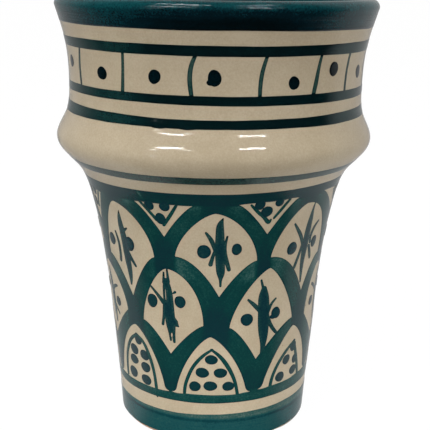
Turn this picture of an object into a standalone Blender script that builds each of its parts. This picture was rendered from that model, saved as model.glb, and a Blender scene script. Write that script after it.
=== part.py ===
"""Footed earthenware tumbler: thrown clay body, two glaze coats and brushed green decoration.

Metres, +Z up. The foot stands on z = 0 and Z is the turning axis. Angles round the wall are
measured from the front (-Y) and grow towards +X.
"""

from collections import namedtuple
from math import cos, hypot, pi, radians, sin

import bmesh
import bpy
from mathutils import Vector
from mathutils.geometry import delaunay_2d_cdt

# Heights of the wall's sections, from the foot up
LOWER_BODY_HEIGHT = 0.066
BULGE_LOWER_HEIGHT = 0.009
BULGE_UPPER_HEIGHT = 0.0097
NECK_HEIGHT = 0.0088
RIM_FLARE_HEIGHT = 0.0165

# Radii of the glazed outside at the ends of those sections
FOOT_RADIUS = 0.0252
MIDDLE_RADIUS = 0.0278
SHOULDER_RADIUS = 0.0341
BULGE_RADIUS = 0.0407
NECK_RADIUS = 0.0376
RIM_RADIUS = 0.0411

# Thickness of the glazed wall, and of the lip, whose top is a half round
WALL = 0.0046
BULGE_WALL = 0.0066
LIP_RADIUS = 0.002

# Floor and foot ring
FLOOR_HEIGHT = 0.007
FLOOR_FILLET = 0.006
FOOT_CHAMFER = 0.0008
FOOT_RING_WIDTH = 0.0055
FOOT_RECESS = 0.0015

# Coats: each lies on the one below with a clearance
CLEARANCE = 0.0003
GLAZE_THICKNESS = 0.0004
PAINT_THICKNESS = 0.0003

# Bare clay below the glaze, and the bands of the lower body, from the foot up
BARE_FOOT = 0.0012
FOOT_BAND_TOP = 0.0068
CREAM_STEP = 0.0034
LOWER_LINE_WIDTH = 0.0022
NET_BAND_WIDTH = 0.0029
NET_TO_WAIST_LINE = 0.0027
WAIST_LINE_WIDTH = 0.0019
SHOULDER_TO_NET_BAND = 0.0025

# Bands of the neck, from the lip down
RIM_BAND_HEIGHT = 0.0064
RIM_BAND_INSIDE = 0.005
STRIPE_GAP = 0.0031
NECK_STRIPE_WIDTH = 0.0023
PANEL_HEIGHT = 0.0087
PANEL_LINE_WIDTH = 0.0011
PANEL_DOT_RADIUS = 0.0015
COLLAR_STRIPE_WIDTH = 0.0021

# Net of arches: the crowns of one row carry the stems of the row above
ARCHES_ROUND = 8
PANELS_ROUND = 16
TOP_ROW_SHARE = 0.77
CROWN_WIDTH = 0.0036
STEM_WIDTH = 0.0048
FLANK_WIDTH = 0.0038
STEM_SEAT = 0.0006
INNER_ARCH_LINE = 0.001
INNER_ARCH_INSET = 0.0021
INNER_ARCH_DROP = 0.0034
CHEVRON_LINE = 0.0009
CHEVRON_HALF_ANGLE = radians(11)
CHEVRON_TIP_CLEARANCE = 0.0018
LEAF_END_CLEARANCE = 0.0024
LEAF_WIDTH = 0.0029
TWIG_LINE = 0.0008
TWIG_REACH = 0.0026
TWIG_TOP_CLEARANCE = 0.0042
TWIG_FOOT_CLEARANCE = 0.0016

# Fineness of the facets
SEGMENTS = 36
ARCH_STEPS = 5
LEAF_STEPS = 4
DOT_STEPS = 8
QUARTER_LIP_STEPS = 2
POINTED_POWER = 0.55
SMOOTH_ANGLE = radians(40)

# How the flat strokes are triangulated
ALL_FACES = 0
FLAT_MERGE = 1e-7

SHOULDER_Z = LOWER_BODY_HEIGHT
BULGE_Z = SHOULDER_Z + BULGE_LOWER_HEIGHT
NECK_Z = BULGE_Z + BULGE_UPPER_HEIGHT
FLARE_Z = NECK_Z + NECK_HEIGHT
HEIGHT = FLARE_Z + RIM_FLARE_HEIGHT
LIP_Z = HEIGHT - LIP_RADIUS
ARCH_PITCH = 2 * pi / ARCHES_ROUND
PAINT_LIFT = CLEARANCE

# One row of the net: height of its springing, shift in pitches, and its two edges as
# half angle and rise
ArchRow = namedtuple("ArchRow", "base offset inner outer")

OUTSIDE = (
    (0.0, FOOT_RADIUS),
    (SHOULDER_Z / 2, MIDDLE_RADIUS),
    (SHOULDER_Z, SHOULDER_RADIUS),
    (BULGE_Z, BULGE_RADIUS),
    (NECK_Z, NECK_RADIUS),
    (FLARE_Z, NECK_RADIUS),
    (LIP_Z, RIM_RADIUS),
)
INSIDE = (
    (0.0, FOOT_RADIUS - WALL),
    (SHOULDER_Z / 2, MIDDLE_RADIUS - WALL),
    (SHOULDER_Z, SHOULDER_RADIUS - WALL),
    (BULGE_Z, BULGE_RADIUS - BULGE_WALL),
    (NECK_Z, NECK_RADIUS - WALL),
    (FLARE_Z, NECK_RADIUS - WALL),
    (LIP_Z, RIM_RADIUS - 2 * LIP_RADIUS),
)

# Facet rows of the wall within each section, from the foot up
OUTSIDE_STEPS = (2, 2, 4, 3, 1, 2)
INSIDE_STEPS = (1, 1, 2, 2, 1, 2)

CREAM = (0.62, 0.52, 0.38, 1.0)
TERRACOTTA = (0.55, 0.30, 0.18, 1.0)
GREEN = (0.006, 0.066, 0.058, 1.0)
DARK_GREEN = (0.003, 0.022, 0.022, 1.0)
BLUE_BLACK = (0.004, 0.012, 0.02, 1.0)


def clear_scene():
    for old in list(bpy.data.objects):
        bpy.data.objects.remove(old, do_unlink=True)


def glazed_material(name, colour, roughness):
    material = bpy.data.materials.new(name)
    material.use_nodes = True
    shader = material.node_tree.nodes["Principled BSDF"]
    shader.inputs["Base Color"].default_value = colour
    shader.inputs["Roughness"].default_value = roughness
    shader.inputs["Metallic"].default_value = 0.0
    return material


def station_slopes(stations):
    """Slope of a curve that keeps each station's rise or fall without overshooting."""
    steps = [(b[1] - a[1]) / (b[0] - a[0]) for a, b in zip(stations, stations[1:])]
    slopes = [steps[0]]
    for before, after in zip(steps, steps[1:]):
        same_way = before * after > 0
        slopes.append(2 * before * after / (before + after) if same_way else 0.0)
    slopes.append(steps[-1])
    return slopes


def radius_and_slope(stations, z):
    """Radius of a turned wall at height z, and how fast it grows there."""
    slopes = station_slopes(stations)
    last = len(stations) - 2
    index = next((i for i in range(last) if z < stations[i + 1][0]), last)
    (low_z, low_r), (high_z, high_r) = stations[index], stations[index + 1]
    span = high_z - low_z
    t = (z - low_z) / span
    start, end = slopes[index] * span, slopes[index + 1] * span
    rise = high_r - low_r
    cubic = start + end - 2 * rise
    square = 3 * rise - 2 * start - end
    radius = low_r + t * (start + t * (square + t * cubic))
    slope = (start + t * (2 * square + 3 * t * cubic)) / span
    return radius, slope


def wall_section(z, lift, stations=OUTSIDE):
    """Radius and height of the point that stands off the wall by lift, square to it."""
    radius, slope = radius_and_slope(stations, z)
    length = hypot(1.0, slope)
    return radius + lift / length, z - lift * slope / length


def wall_heights(low, high, section_steps):
    """Heights of the facet rows between two heights, both ends included."""
    bounds = [station[0] for station in OUTSIDE]
    rows = []
    for bottom, top, count in zip(bounds, bounds[1:], section_steps):
        rows += [bottom + (top - bottom) * i / count for i in range(count)]
    closest = 2 * CLEARANCE
    inner = [z for z in rows if low + closest < z < high - closest]
    return [low] + inner + [high]


def facet_section(z, lift, stations=OUTSIDE, section_steps=OUTSIDE_STEPS):
    """Radius and height of a point on the wall's facets, which every coat shares."""
    rows = wall_heights(0.0, LIP_Z, section_steps)
    index = next((i for i in range(len(rows) - 2) if z < rows[i + 1]), len(rows) - 2)
    low, high = rows[index], rows[index + 1]
    t = (z - low) / (high - low)
    low_end = wall_section(low, lift, stations)
    high_end = wall_section(high, lift, stations)
    return tuple(a + t * (b - a) for a, b in zip(low_end, high_end))


def outside_line(low, high, lift):
    return [facet_section(z, lift) for z in wall_heights(low, high, OUTSIDE_STEPS)]


def inside_line(low, high, depth):
    """Inner face of the wall; depth is measured into the clay."""
    heights = wall_heights(low, high, INSIDE_STEPS)
    return [facet_section(z, depth, INSIDE, INSIDE_STEPS) for z in heights]


def lip_arc(radius, start, end):
    """Arc over the lip, angles from the outside (0) to the inside (180 degrees)."""
    centre_r, centre_z = RIM_RADIUS - LIP_RADIUS, LIP_Z
    steps = round(abs(end - start) / (pi / 2)) * QUARTER_LIP_STEPS
    angles = [start + (end - start) * i / steps for i in range(steps + 1)]
    return [(centre_r + radius * cos(a), centre_z + radius * sin(a)) for a in angles]


def floor_line(depth):
    """Inner floor with its fillet, from the axis out to the foot of the inner wall."""
    wall_z = FLOOR_HEIGHT + FLOOR_FILLET
    edge_r, _ = facet_section(wall_z, 0.0, INSIDE, INSIDE_STEPS)
    centre_r = edge_r - FLOOR_FILLET
    reach = FLOOR_FILLET + depth
    angles = [radians(90), radians(55), radians(25)]
    arc = [(centre_r + reach * cos(a), wall_z - reach * sin(a)) for a in angles]
    return [(0.0, FLOOR_HEIGHT - depth)] + arc


def new_object(name, mesh_builder, material):
    mesh = bpy.data.meshes.new(name)
    mesh_builder.to_mesh(mesh)
    mesh_builder.free()
    mesh.materials.append(material)
    mesh.shade_smooth()
    mesh.set_sharp_from_angle(angle=SMOOTH_ANGLE)
    piece = bpy.data.objects.new(name, mesh)
    bpy.context.scene.collection.objects.link(piece)
    return piece


def turned(name, outline, material, closed=True):
    """Solid of revolution; an open outline starts and ends on the axis."""
    builder = bmesh.new()
    corners = [builder.verts.new((r, 0.0, z)) for r, z in outline]
    pairs = list(zip(corners, corners[1:]))
    if closed:
        pairs.append((corners[-1], corners[0]))
    edges = [builder.edges.new(pair) for pair in pairs]
    bmesh.ops.spin(
        builder,
        geom=corners + edges,
        axis=(0, 0, 1),
        cent=(0, 0, 0),
        angle=2 * pi,
        steps=SEGMENTS,
        use_merge=True,
    )
    bmesh.ops.remove_doubles(builder, verts=builder.verts, dist=1e-6)
    bmesh.ops.recalc_face_normals(builder, faces=builder.faces)
    return new_object(name, builder, material)


def band(name, low, high, material):
    """Painted ring on the outside of the wall."""
    face = outside_line(low, high, PAINT_LIFT + PAINT_THICKNESS)
    back = outside_line(low, high, PAINT_LIFT)
    return turned(name, face + back[::-1], material)


def directed_edges(triangle):
    return list(zip(triangle, triangle[1:] + triangle[:1]))


def painted_side(triangles, rim):
    """Triangles on the painted side of a rim that runs anticlockwise round the paint."""
    owner = {edge: i for i, face in enumerate(triangles) for edge in directed_edges(face)}
    pending = [owner[edge] for edge in rim]
    painted = set(pending)
    while pending:
        for edge in directed_edges(triangles[pending.pop()]):
            beyond = owner.get(edge[::-1])
            if edge not in rim and beyond is not None and beyond not in painted:
                painted.add(beyond)
                pending.append(beyond)
    return [triangles[i] for i in sorted(painted)]


def merged_strokes(strokes, full_turn):
    """Flat triangles of all strokes run together; a full turn is cut off at both seams."""
    points, outlines, seams = [], [], []
    for stroke in strokes:
        outlines.append(list(range(len(points), len(points) + len(stroke))))
        points += [Vector((angle * NECK_RADIUS, z)) for angle, z in stroke]
    if full_turn:
        for angle in (0.0, 2 * pi):
            seams.append((len(points), len(points) + 1))
            points += [Vector((angle * NECK_RADIUS, z)) for z in (0.0, HEIGHT)]
    flat, _, faces, _, _, sources = delaunay_2d_cdt(points, seams, outlines, ALL_FACES, FLAT_MERGE)
    edges = set()
    for face, source in zip(faces, sources):
        middle = sum(flat[i][0] for i in face) / len(face) / NECK_RADIUS
        if source and (not full_turn or 0.0 < middle < 2 * pi):
            edges.update(directed_edges(face))
    outer_edges = [edge for edge in edges if edge[::-1] not in edges]
    used = sorted({index for edge in outer_edges for index in edge})
    place = {index: i for i, index in enumerate(used)}
    rim = sorted((place[a], place[b]) for a, b in outer_edges)
    corners = [flat[index] for index in used]
    corners, _, triangles, *_ = delaunay_2d_cdt(corners, rim, [], ALL_FACES, FLAT_MERGE)
    return corners, painted_side(triangles, set(rim))


def painted_layer(name, strokes, material, full_turn=False):
    """Strokes given as outlines of (angle, height), laid on the wall and thickened outwards."""
    flat, triangles = merged_strokes(strokes, full_turn)
    builder = bmesh.new()
    corners = []
    for across, z in flat:
        angle = across / NECK_RADIUS
        radius, height = facet_section(z, PAINT_LIFT)
        corners.append(builder.verts.new((radius * sin(angle), -radius * cos(angle), height)))
    for triangle in triangles:
        builder.faces.new([corners[i] for i in triangle])
    bmesh.ops.remove_doubles(builder, verts=builder.verts, dist=1e-6)
    piece = new_object(name, builder, material)
    coat = piece.modifiers.new("coat", "SOLIDIFY")
    coat.thickness = PAINT_THICKNESS
    coat.offset = 1.0
    return piece


def ring_stroke(low, high):
    """Outline of a stripe once round the wall, with a corner at each facet."""
    angles = [2 * pi * i / SEGMENTS for i in range(SEGMENTS + 1)]
    return [(a, low) for a in angles] + [(a, high) for a in reversed(angles)]


def line_stroke(start, end, width):
    """Straight stroke between two (angle, height) points."""
    radius, _ = radius_and_slope(OUTSIDE, (start[1] + end[1]) / 2)
    along = Vector(((end[0] - start[0]) * radius, end[1] - start[1]))
    side = Vector((-along.y, along.x)).normalized() * width / 2
    shift = (side.x / radius, side.y)
    return [
        (start[0] + shift[0], start[1] + shift[1]),
        (start[0] - shift[0], start[1] - shift[1]),
        (end[0] - shift[0], end[1] - shift[1]),
        (end[0] + shift[0], end[1] + shift[1]),
    ]


def arch_line(centre, base, half_angle, rise, pointed):
    """Arch from its right springing over the crown to the left; round unless pointed."""
    line = []
    for i in range(2 * ARCH_STEPS + 1):
        turn = pi * i / (2 * ARCH_STEPS)
        across, up = cos(turn), sin(turn)
        if pointed:
            up = (1 - abs(across)) ** POINTED_POWER
        line.append((centre + half_angle * across, base + rise * up))
    return line


def arch_stroke(centre, base, inner, outer, pointed=False):
    """Horseshoe between two arches given as (half angle, rise), its stems sunk by the seat."""
    over = arch_line(centre, base, outer[0], outer[1], pointed)
    under = arch_line(centre, base, inner[0], inner[1], pointed)[::-1]
    foot = base - STEM_SEAT
    left_stem = [(over[-1][0], foot), (under[0][0], foot)]
    right_stem = [(under[-1][0], foot), (over[0][0], foot)]
    return over + left_stem + under + right_stem


def dab(centre_angle, centre_z, radius):
    """Round spot of paint."""
    wall_radius, _ = radius_and_slope(OUTSIDE, centre_z)
    turns = [2 * pi * i / DOT_STEPS for i in range(DOT_STEPS)]
    return [(centre_angle + radius * cos(t) / wall_radius, centre_z + radius * sin(t)) for t in turns]


def window_top(row, away):
    """Height of a window's upper edge at an angle from its middle."""
    half_angle, rise = row.inner
    return row.base + rise * (1 - (away / half_angle) ** 2) ** 0.5


def window_foot(below, away):
    """Height of its lower edge there, on the flanks of the two arches below."""
    half_angle, rise = below.outer
    share = (ARCH_PITCH / 2 - away) / half_angle
    return below.base + rise * (1 - share * share) ** 0.5


def leaf(centre_angle, row, below):
    """Upright spindle crossed by two slanting twigs, set inside its window."""
    low = window_foot(below, 0.0) + LEAF_END_CLEARANCE
    high = window_top(row, 0.0) - LEAF_END_CLEARANCE
    middle, half_length = (low + high) / 2, (high - low) / 2
    wall_radius, _ = radius_and_slope(OUTSIDE, middle)
    half_angle = LEAF_WIDTH / 2 / wall_radius
    heights = [i / LEAF_STEPS * 2 - 1 for i in range(LEAF_STEPS + 1)]
    right = [(centre_angle + half_angle * (1 - h * h), middle + h * half_length) for h in heights]
    left = [(centre_angle - half_angle * (1 - h * h), middle + h * half_length) for h in heights]
    strokes = [right + left[-2:0:-1]]
    reach = half_angle + TWIG_REACH / wall_radius
    twig_foot = window_foot(below, reach) + TWIG_FOOT_CLEARANCE
    twig_top = window_top(row, reach) - TWIG_TOP_CLEARANCE
    for slant in (-1, 1):
        start = (centre_angle - slant * reach, twig_foot)
        end = (centre_angle + slant * reach, twig_top)
        strokes.append(line_stroke(start, end, TWIG_LINE))
    return strokes


def clay_body(material):
    """Turned biscuit: everything under the glaze, with a bare foot ring and a shallow recess."""
    depth = CLEARANCE + GLAZE_THICKNESS
    ring_inner = FOOT_RADIUS - FOOT_RING_WIDTH
    ring_outer = FOOT_RADIUS - depth - FOOT_CHAMFER
    underside = [(0.0, FOOT_RECESS), (ring_inner - FOOT_RECESS, FOOT_RECESS)]
    underside += [(ring_inner, 0.0), (ring_outer, 0.0)]
    outer = outside_line(FOOT_CHAMFER, LIP_Z, -depth)
    lip = lip_arc(LIP_RADIUS - depth, 0.0, pi)[1:-1]
    inner = inside_line(FLOOR_HEIGHT + FLOOR_FILLET, LIP_Z, depth)[::-1]
    outline = underside + outer + lip + inner + floor_line(depth)[::-1]
    return turned("clay_body", outline, material, closed=False)


def outer_glaze(material):
    """Cream coat outside, from the bare foot to the top of the lip."""
    face = outside_line(BARE_FOOT, LIP_Z, 0.0)[:-1] + lip_arc(LIP_RADIUS, 0.0, pi / 2)
    inner_radius = LIP_RADIUS - GLAZE_THICKNESS
    back = outside_line(BARE_FOOT, LIP_Z, -GLAZE_THICKNESS)[:-1]
    back += lip_arc(inner_radius, 0.0, pi / 2)
    return turned("outer_glaze", face + back[::-1], material)


def inner_glaze(material):
    """Cream liner inside, from the floor to just short of the top of the lip."""
    join = pi / 2 + CLEARANCE / (LIP_RADIUS - GLAZE_THICKNESS)
    low = FLOOR_HEIGHT + FLOOR_FILLET
    face = floor_line(0.0) + inside_line(low, LIP_Z, 0.0)[:-1] + lip_arc(LIP_RADIUS, pi, join)
    back = floor_line(GLAZE_THICKNESS) + inside_line(low, LIP_Z, GLAZE_THICKNESS)[:-1]
    back += lip_arc(LIP_RADIUS - GLAZE_THICKNESS, pi, join)
    return turned("inner_glaze", face + back[::-1], material, closed=False)


def rim_band(material):
    """Green coat over the lip, from the outside of the neck to a little way inside."""
    def coat(lift):
        outer = outside_line(HEIGHT - RIM_BAND_HEIGHT, LIP_Z, lift)[:-1]
        inner = inside_line(HEIGHT - RIM_BAND_INSIDE, LIP_Z, -lift)[:-1]
        return outer + lip_arc(LIP_RADIUS + lift, 0.0, pi) + inner[::-1]

    face = coat(PAINT_LIFT + PAINT_THICKNESS)
    return turned("rim_band", face + coat(PAINT_LIFT)[::-1], material)


def neck_ladder(top, bottom, material):
    """Two stripes and the upright lines between them."""
    strokes = [
        ring_stroke(bottom, bottom + NECK_STRIPE_WIDTH),
        ring_stroke(top - NECK_STRIPE_WIDTH, top),
    ]
    pitch = 2 * pi / PANELS_ROUND
    sunk = NECK_STRIPE_WIDTH / 2
    for i in range(PANELS_ROUND):
        angle = (i + 0.5) * pitch
        strokes.append(line_stroke((angle, bottom + sunk), (angle, top - sunk), PANEL_LINE_WIDTH))
    return painted_layer("neck_ladder", strokes, material, full_turn=True)


def net_rows(net_low, net_high):
    """The three rows of arches, from the lower line up; the top row's crowns run into the band."""
    step = (net_high - net_low) / (2 + TOP_ROW_SHARE)
    rows = []
    for index in range(3):
        base = net_low + index * step
        wall_radius, _ = radius_and_slope(OUTSIDE, base)
        inner_half = (ARCH_PITCH - STEM_WIDTH / wall_radius) / 2
        crown = net_high + CROWN_WIDTH / 2 if index == 2 else base + step + STEM_SEAT
        outer_rise = crown - base
        rows.append(
            ArchRow(
                base=base,
                offset=0.5 * (index % 2),
                inner=(inner_half, outer_rise - CROWN_WIDTH),
                outer=(inner_half + FLANK_WIDTH / wall_radius, outer_rise),
            )
        )
    return rows


def inner_arch(row, centre):
    """Thin pointed arch inside a window of the bottom row."""
    wall_radius, _ = radius_and_slope(OUTSIDE, row.base)
    half = row.inner[0] - INNER_ARCH_INSET / wall_radius
    rise = row.inner[1] - INNER_ARCH_DROP
    inner = (half - INNER_ARCH_LINE / wall_radius, rise - INNER_ARCH_LINE)
    return arch_stroke(centre, row.base, inner, (half, rise), pointed=True)


def chevron(centre, net_high, depth):
    """Two thin strokes that hang from the band and meet above a notch of the top row."""
    tip = (centre, net_high - depth)
    anchor = net_high + NET_BAND_WIDTH / 2
    arms = [(centre + side * CHEVRON_HALF_ANGLE, anchor) for side in (-1, 1)]
    return [line_stroke(arm, tip, CHEVRON_LINE) for arm in arms]


def scale_lattice(low, high, rows, material):
    """Net of arches between the lower line and the band under the bulge, in one piece."""
    net_low, net_high = low + LOWER_LINE_WIDTH, high - NET_BAND_WIDTH
    strokes = [ring_stroke(low, net_low), ring_stroke(net_high, high)]
    for row in rows:
        for i in range(-1, ARCHES_ROUND + 1):
            centre = (i + row.offset) * ARCH_PITCH
            strokes.append(arch_stroke(centre, row.base, row.inner, row.outer))
            if row is rows[0]:
                strokes.append(inner_arch(row, centre))
    depth = net_high - window_foot(rows[-1], 0.0) - CHEVRON_TIP_CLEARANCE
    for i in range(ARCHES_ROUND):
        strokes += chevron((i + 0.5) * ARCH_PITCH, net_high, depth)
    return painted_layer("scale_lattice", strokes, material, full_turn=True)


def leaf_sprigs(rows, material):
    """One sprig in each window of the upper two rows, numbered from the top row's front."""
    number = 0
    for row, below in ((rows[2], rows[1]), (rows[1], rows[0])):
        for i in range(ARCHES_ROUND):
            number += 1
            sprig = leaf((i + row.offset) * ARCH_PITCH, row, below)
            painted_layer(f"leaf_sprig_{number:02d}", sprig, material)


def build():
    clear_scene()
    biscuit = glazed_material("biscuit_clay", TERRACOTTA, 0.85)
    cream = glazed_material("cream_glaze", CREAM, 0.12)
    liner = glazed_material("liner_glaze", CREAM, 0.14)
    rim_green = glazed_material("rim_green", GREEN, 0.1)
    net_green = glazed_material("net_green", GREEN, 0.15)
    foot_green = glazed_material("foot_green", GREEN, 0.15)
    stripe_dark = glazed_material("stripe_dark", DARK_GREEN, 0.15)
    collar_dark = glazed_material("collar_dark", DARK_GREEN, 0.15)
    waist_dark = glazed_material("waist_dark", DARK_GREEN, 0.15)
    dot_dark = glazed_material("dot_dark", BLUE_BLACK, 0.2)
    leaf_dark = glazed_material("leaf_dark", BLUE_BLACK, 0.2)

    clay_body(biscuit)
    outer_glaze(cream)
    inner_glaze(liner)
    rim_band(rim_green)

    ladder_top = HEIGHT - RIM_BAND_HEIGHT - STRIPE_GAP
    ladder_bottom = ladder_top - PANEL_HEIGHT - 2 * NECK_STRIPE_WIDTH
    neck_ladder(ladder_top, ladder_bottom, stripe_dark)
    dot_z = (ladder_top + ladder_bottom) / 2
    for i in range(PANELS_ROUND):
        spot = dab(i * 2 * pi / PANELS_ROUND, dot_z, PANEL_DOT_RADIUS)
        painted_layer(f"panel_dot_{i + 1:02d}", [spot], dot_dark)
    collar_top = ladder_bottom - STRIPE_GAP
    band("collar_stripe", collar_top - COLLAR_STRIPE_WIDTH, collar_top, collar_dark)

    net_bottom = FOOT_BAND_TOP + CREAM_STEP
    net_top = SHOULDER_Z + NET_BAND_WIDTH - SHOULDER_TO_NET_BAND
    rows = net_rows(net_bottom + LOWER_LINE_WIDTH, net_top - NET_BAND_WIDTH)
    scale_lattice(net_bottom, net_top, rows, net_green)
    leaf_sprigs(rows, leaf_dark)
    waist_low = net_top + NET_TO_WAIST_LINE
    band("waist_line", waist_low, waist_low + WAIST_LINE_WIDTH, waist_dark)
    band("foot_band", BARE_FOOT, FOOT_BAND_TOP, foot_green)


build()
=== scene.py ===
"""Looks of the footed tumbler: clay, glaze coats, brushed decoration, studio and camera.

The wall and its decoration are described in millimetres and degrees. Angles are measured from
the front (-Y) and grow towards +X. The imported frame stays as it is.
"""

import random
from collections import namedtuple
from math import cos, pi, radians, sin, tan

import bmesh
import bpy
import numpy as np
from mathutils import Matrix, Vector, kdtree
from mathutils.geometry import delaunay_2d_cdt


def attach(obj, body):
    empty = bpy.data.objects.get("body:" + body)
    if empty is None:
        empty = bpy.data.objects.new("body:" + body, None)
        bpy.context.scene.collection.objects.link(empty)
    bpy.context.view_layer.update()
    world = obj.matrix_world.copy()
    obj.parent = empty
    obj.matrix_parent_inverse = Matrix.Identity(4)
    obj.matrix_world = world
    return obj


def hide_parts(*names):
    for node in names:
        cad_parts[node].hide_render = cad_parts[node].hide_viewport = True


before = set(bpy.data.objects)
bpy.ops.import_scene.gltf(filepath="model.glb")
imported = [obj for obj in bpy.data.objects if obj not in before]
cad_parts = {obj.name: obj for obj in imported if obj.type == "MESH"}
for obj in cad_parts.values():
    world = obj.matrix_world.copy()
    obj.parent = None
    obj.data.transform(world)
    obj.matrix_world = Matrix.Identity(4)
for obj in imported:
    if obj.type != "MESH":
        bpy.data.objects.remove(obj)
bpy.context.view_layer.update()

MM = 0.001
FULL_TURN = 360.0
HALF_TURN = 180.0
QUARTER_TURN = 90.0

# Outside of the glazed wall: height and radius
OUTSIDE = (
    (-0.8, 25.1),
    (12.0, 26.05),
    (24.0, 27.15),
    (37.0, 28.3),
    (50.0, 30.1),
    (59.0, 31.85),
    (64.2, 33.35),
    (67.2, 34.85),
    (70.2, 37.35),
    (72.8, 39.75),
    (75.2, 40.65),
    (77.4, 40.2),
    (80.0, 38.95),
    (82.4, 38.0),
    (85.5, 37.6),
    (92.0, 37.6),
    (97.1, 38.05),
    (103.5, 39.5),
    (108.0, 40.85),
)
# How far the thrown wall sways to the right at each height
SWAY = (
    (-1.0, 0.27),
    (15.0, 0.25),
    (27.0, 0.16),
    (35.0, 0.0),
    (48.0, -0.2),
    (60.0, -0.33),
    (75.0, -0.38),
    (85.0, -0.1),
    (95.0, 0.03),
    (111.0, 0.05),
)
# Inside of the wall: height and radius
INSIDE = (
    (13.0, 21.2),
    (33.0, 23.2),
    (55.0, 26.2),
    (66.0, 29.4),
    (75.0, 33.9),
    (84.7, 33.1),
    (93.5, 33.0),
    (108.0, 37.0),
)
# Lip, floor and foot. The floor's fillet ends at an angle, in degrees, and the outer glaze ends at
# the height of the bare foot.
LIP_Z = 108.0
LIP_RADIUS = 2.0
RIM_RADIUS = 40.85
FOOT_Z = -0.8
FLOOR_Z = 7.0
FLOOR_FILLET = 6.0
FILLET_END = 8.0
FOOT_CHAMFER = 0.4
FOOT_RING_WIDTH = 5.5
FOOT_RECESS = 1.5
BARE_FOOT = -0.2
GLAZE_DEPTH = 0.4
# The bare foot spreads a little: by how much, where, over what angle and in which outer part
FOOT_SWELL = 0.4
FOOT_SWELL_ANGLE = -36.0
FOOT_SWELL_WIDTH = 25.0
FOOT_SWELL_DEPTH = 1.5
# Turning marks under the foot: how deep, how many radians of waves and how many points
TURNING_DEPTH = 0.07
TURNING_WAVES = 40
TURNING_POINTS = 40
# Clay is stepped finely up to a little above the foot
CLAY_FINE_TOP = 6.0
CLAY_FINE_STEP = 0.4
CLAY_STEP = 2.0
# Turned pieces: how many segments go round, from which radius they are as uneven as the wall, over
# what height a slope is measured, and how near to the axis a point counts as on it, in metres
SEGMENTS = 288
FIRM_RADIUS = 15.0
SLOPE_STEP = 0.05
ON_AXIS = 1e-6

# Painted films: how proud they stand, how far they sink, how proud their edge stands and how wide it
# is rounded, and how proud the window dots stand
FILM = 0.05
FILM_SINK = 0.03
FILM_EDGE = 0.012
FILM_ROUND = 0.35
DOT_FILM = 0.1
# Spacing of a film's points in broad and in fine strokes, and the wall's radius about where it lies
BROAD_STEP = 0.45
FINE_STEP = 0.35
NECK_RADIUS = 38.0
WAIST_RADIUS = 37.0
NET_RADIUS = 30.0
FOOT_RADIUS = 25.0
# How near to the back seam a film's point counts as on it, in degrees
SEAM_REACH = 1e-3
# Thinnest part of a brush stroke
LEAST_WIDTH = 0.25
RING_POINTS = 361

# Rings of the decoration: lower and upper edge, how far each edge tilts from front to side, and
# how far the upper edge rises at both sides
Ring = namedtuple("Ring", "low high low_tilt high_tilt high_bow")
FOOT_BAND = Ring(-0.1, 6.9, 0.0, 0.75, 0.1)
NET = Ring(10.15, 66.4, 0.35, 0.45, 0.1)
WAIST_LINE = Ring(69.15, 71.05, 0.2, 0.05, 0.0)
COLLAR_STRIPE = Ring(82.0, 84.05, -0.16, -0.2, 0.65)
LOWER_STRIPE = Ring(87.25, 89.4, -0.25, -0.16, 0.0)
UPPER_STRIPE = Ring(98.1, 100.45, -0.2, -0.1, 0.2)
RIM_OUTSIDE_EDGE = 103.72
RIM_INSIDE_EDGE = 104.2
LOWER_LINE_TOP = 12.6
LOWER_LINE_TILT = 0.8
LOWER_LINE_BOW = 0.7
# Waves of the coats' hand-drawn edges, as size, how many go round and phase, and over what height
# they fade
FOOT_EDGE_WAVES = ((0.12, 2, 2.1), (0.1, 5, 0.0), (0.06, 11, 1.0))
FOOT_EDGE_FADE = 1.5
RIM_OUTSIDE_WAVES = ((0.07, 4, 0.4), (0.05, 9, 0.0), (-0.26, 1, 0.0))
RIM_INSIDE_WAVES = ((0.3, 3, 1.3), (0.2, 7, 0.2))
RIM_EDGE_FADE = 2.5
# How paint gathers downwards: load at the top, then from which height, over what length and how much
# more. On the rim, pale on the crest and dark below, this is partly the glaze thinning and gathering and
# partly a painted highlight of light from above; the rim is also darker in front than at the sides.
RIM_FRONT_GATHER_AND_LIGHT = (0.5, (109.2, 1.8, 0.52), (107.2, 1.6, 0.43))
RIM_SIDE_GATHER_AND_LIGHT = (0.44, (109.2, 2.6, 0.3), (105.5, 1.5, 0.06))
RIM_FRONT = 4.0
RIM_FRONT_WIDTH = 29.0
UPRIGHT_LOAD = (0.42, (97.0, 8.0, 0.2))
# Largest distance from the edge that the rim's paint is given
FAR_FROM_EDGE = 3.0

# A window of the net: its four corners and how full its sides are. A side's fullness is the
# power of its curve: upper sides are straighter near 1 and rounder near 2, lower sides sag more
# the higher the power.
Window = namedtuple("Window", "left top right tip upper lower")
TOP_ROW = (
    Window((-61.7, 46.3), (-48.7, 61.6), (-28.5, 48.8), (-45.0, 36.8), (1.55, 1.75), (1.7, 1.45)),
    Window((-17.6, 49.8), (0.8, 61.4), (20.7, 48.8), (3.1, 39.6), (1.45, 1.6), (1.9, 1.5)),
    Window((28.0, 49.2), (45.3, 62.0), (66.0, 46.6), (52.2, 37.9), (1.45, 2.1), (2.1, 1.95)),
)
MIDDLE_ROW = (
    Window((-90.0, 31.0), (-70.0, 43.2), (-51.2, 32.0), (-71.0, 22.5), (1.6, 1.65), (1.4, 1.1)),
    Window((-38.6, 31.0), (-22.7, 46.2), (-4.6, 31.7), (-22.4, 23.2), (1.45, 1.9), (1.55, 1.35)),
    Window((8.8, 31.2), (28.4, 46.3), (46.3, 31.2), (23.9, 22.0), (1.4, 1.3), (1.4, 1.5)),
    Window((58.5, 30.5), (71.0, 43.3), (89.0, 31.0), (72.5, 23.0), (1.75, 1.6), (1.05, 1.4)),
)
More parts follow.
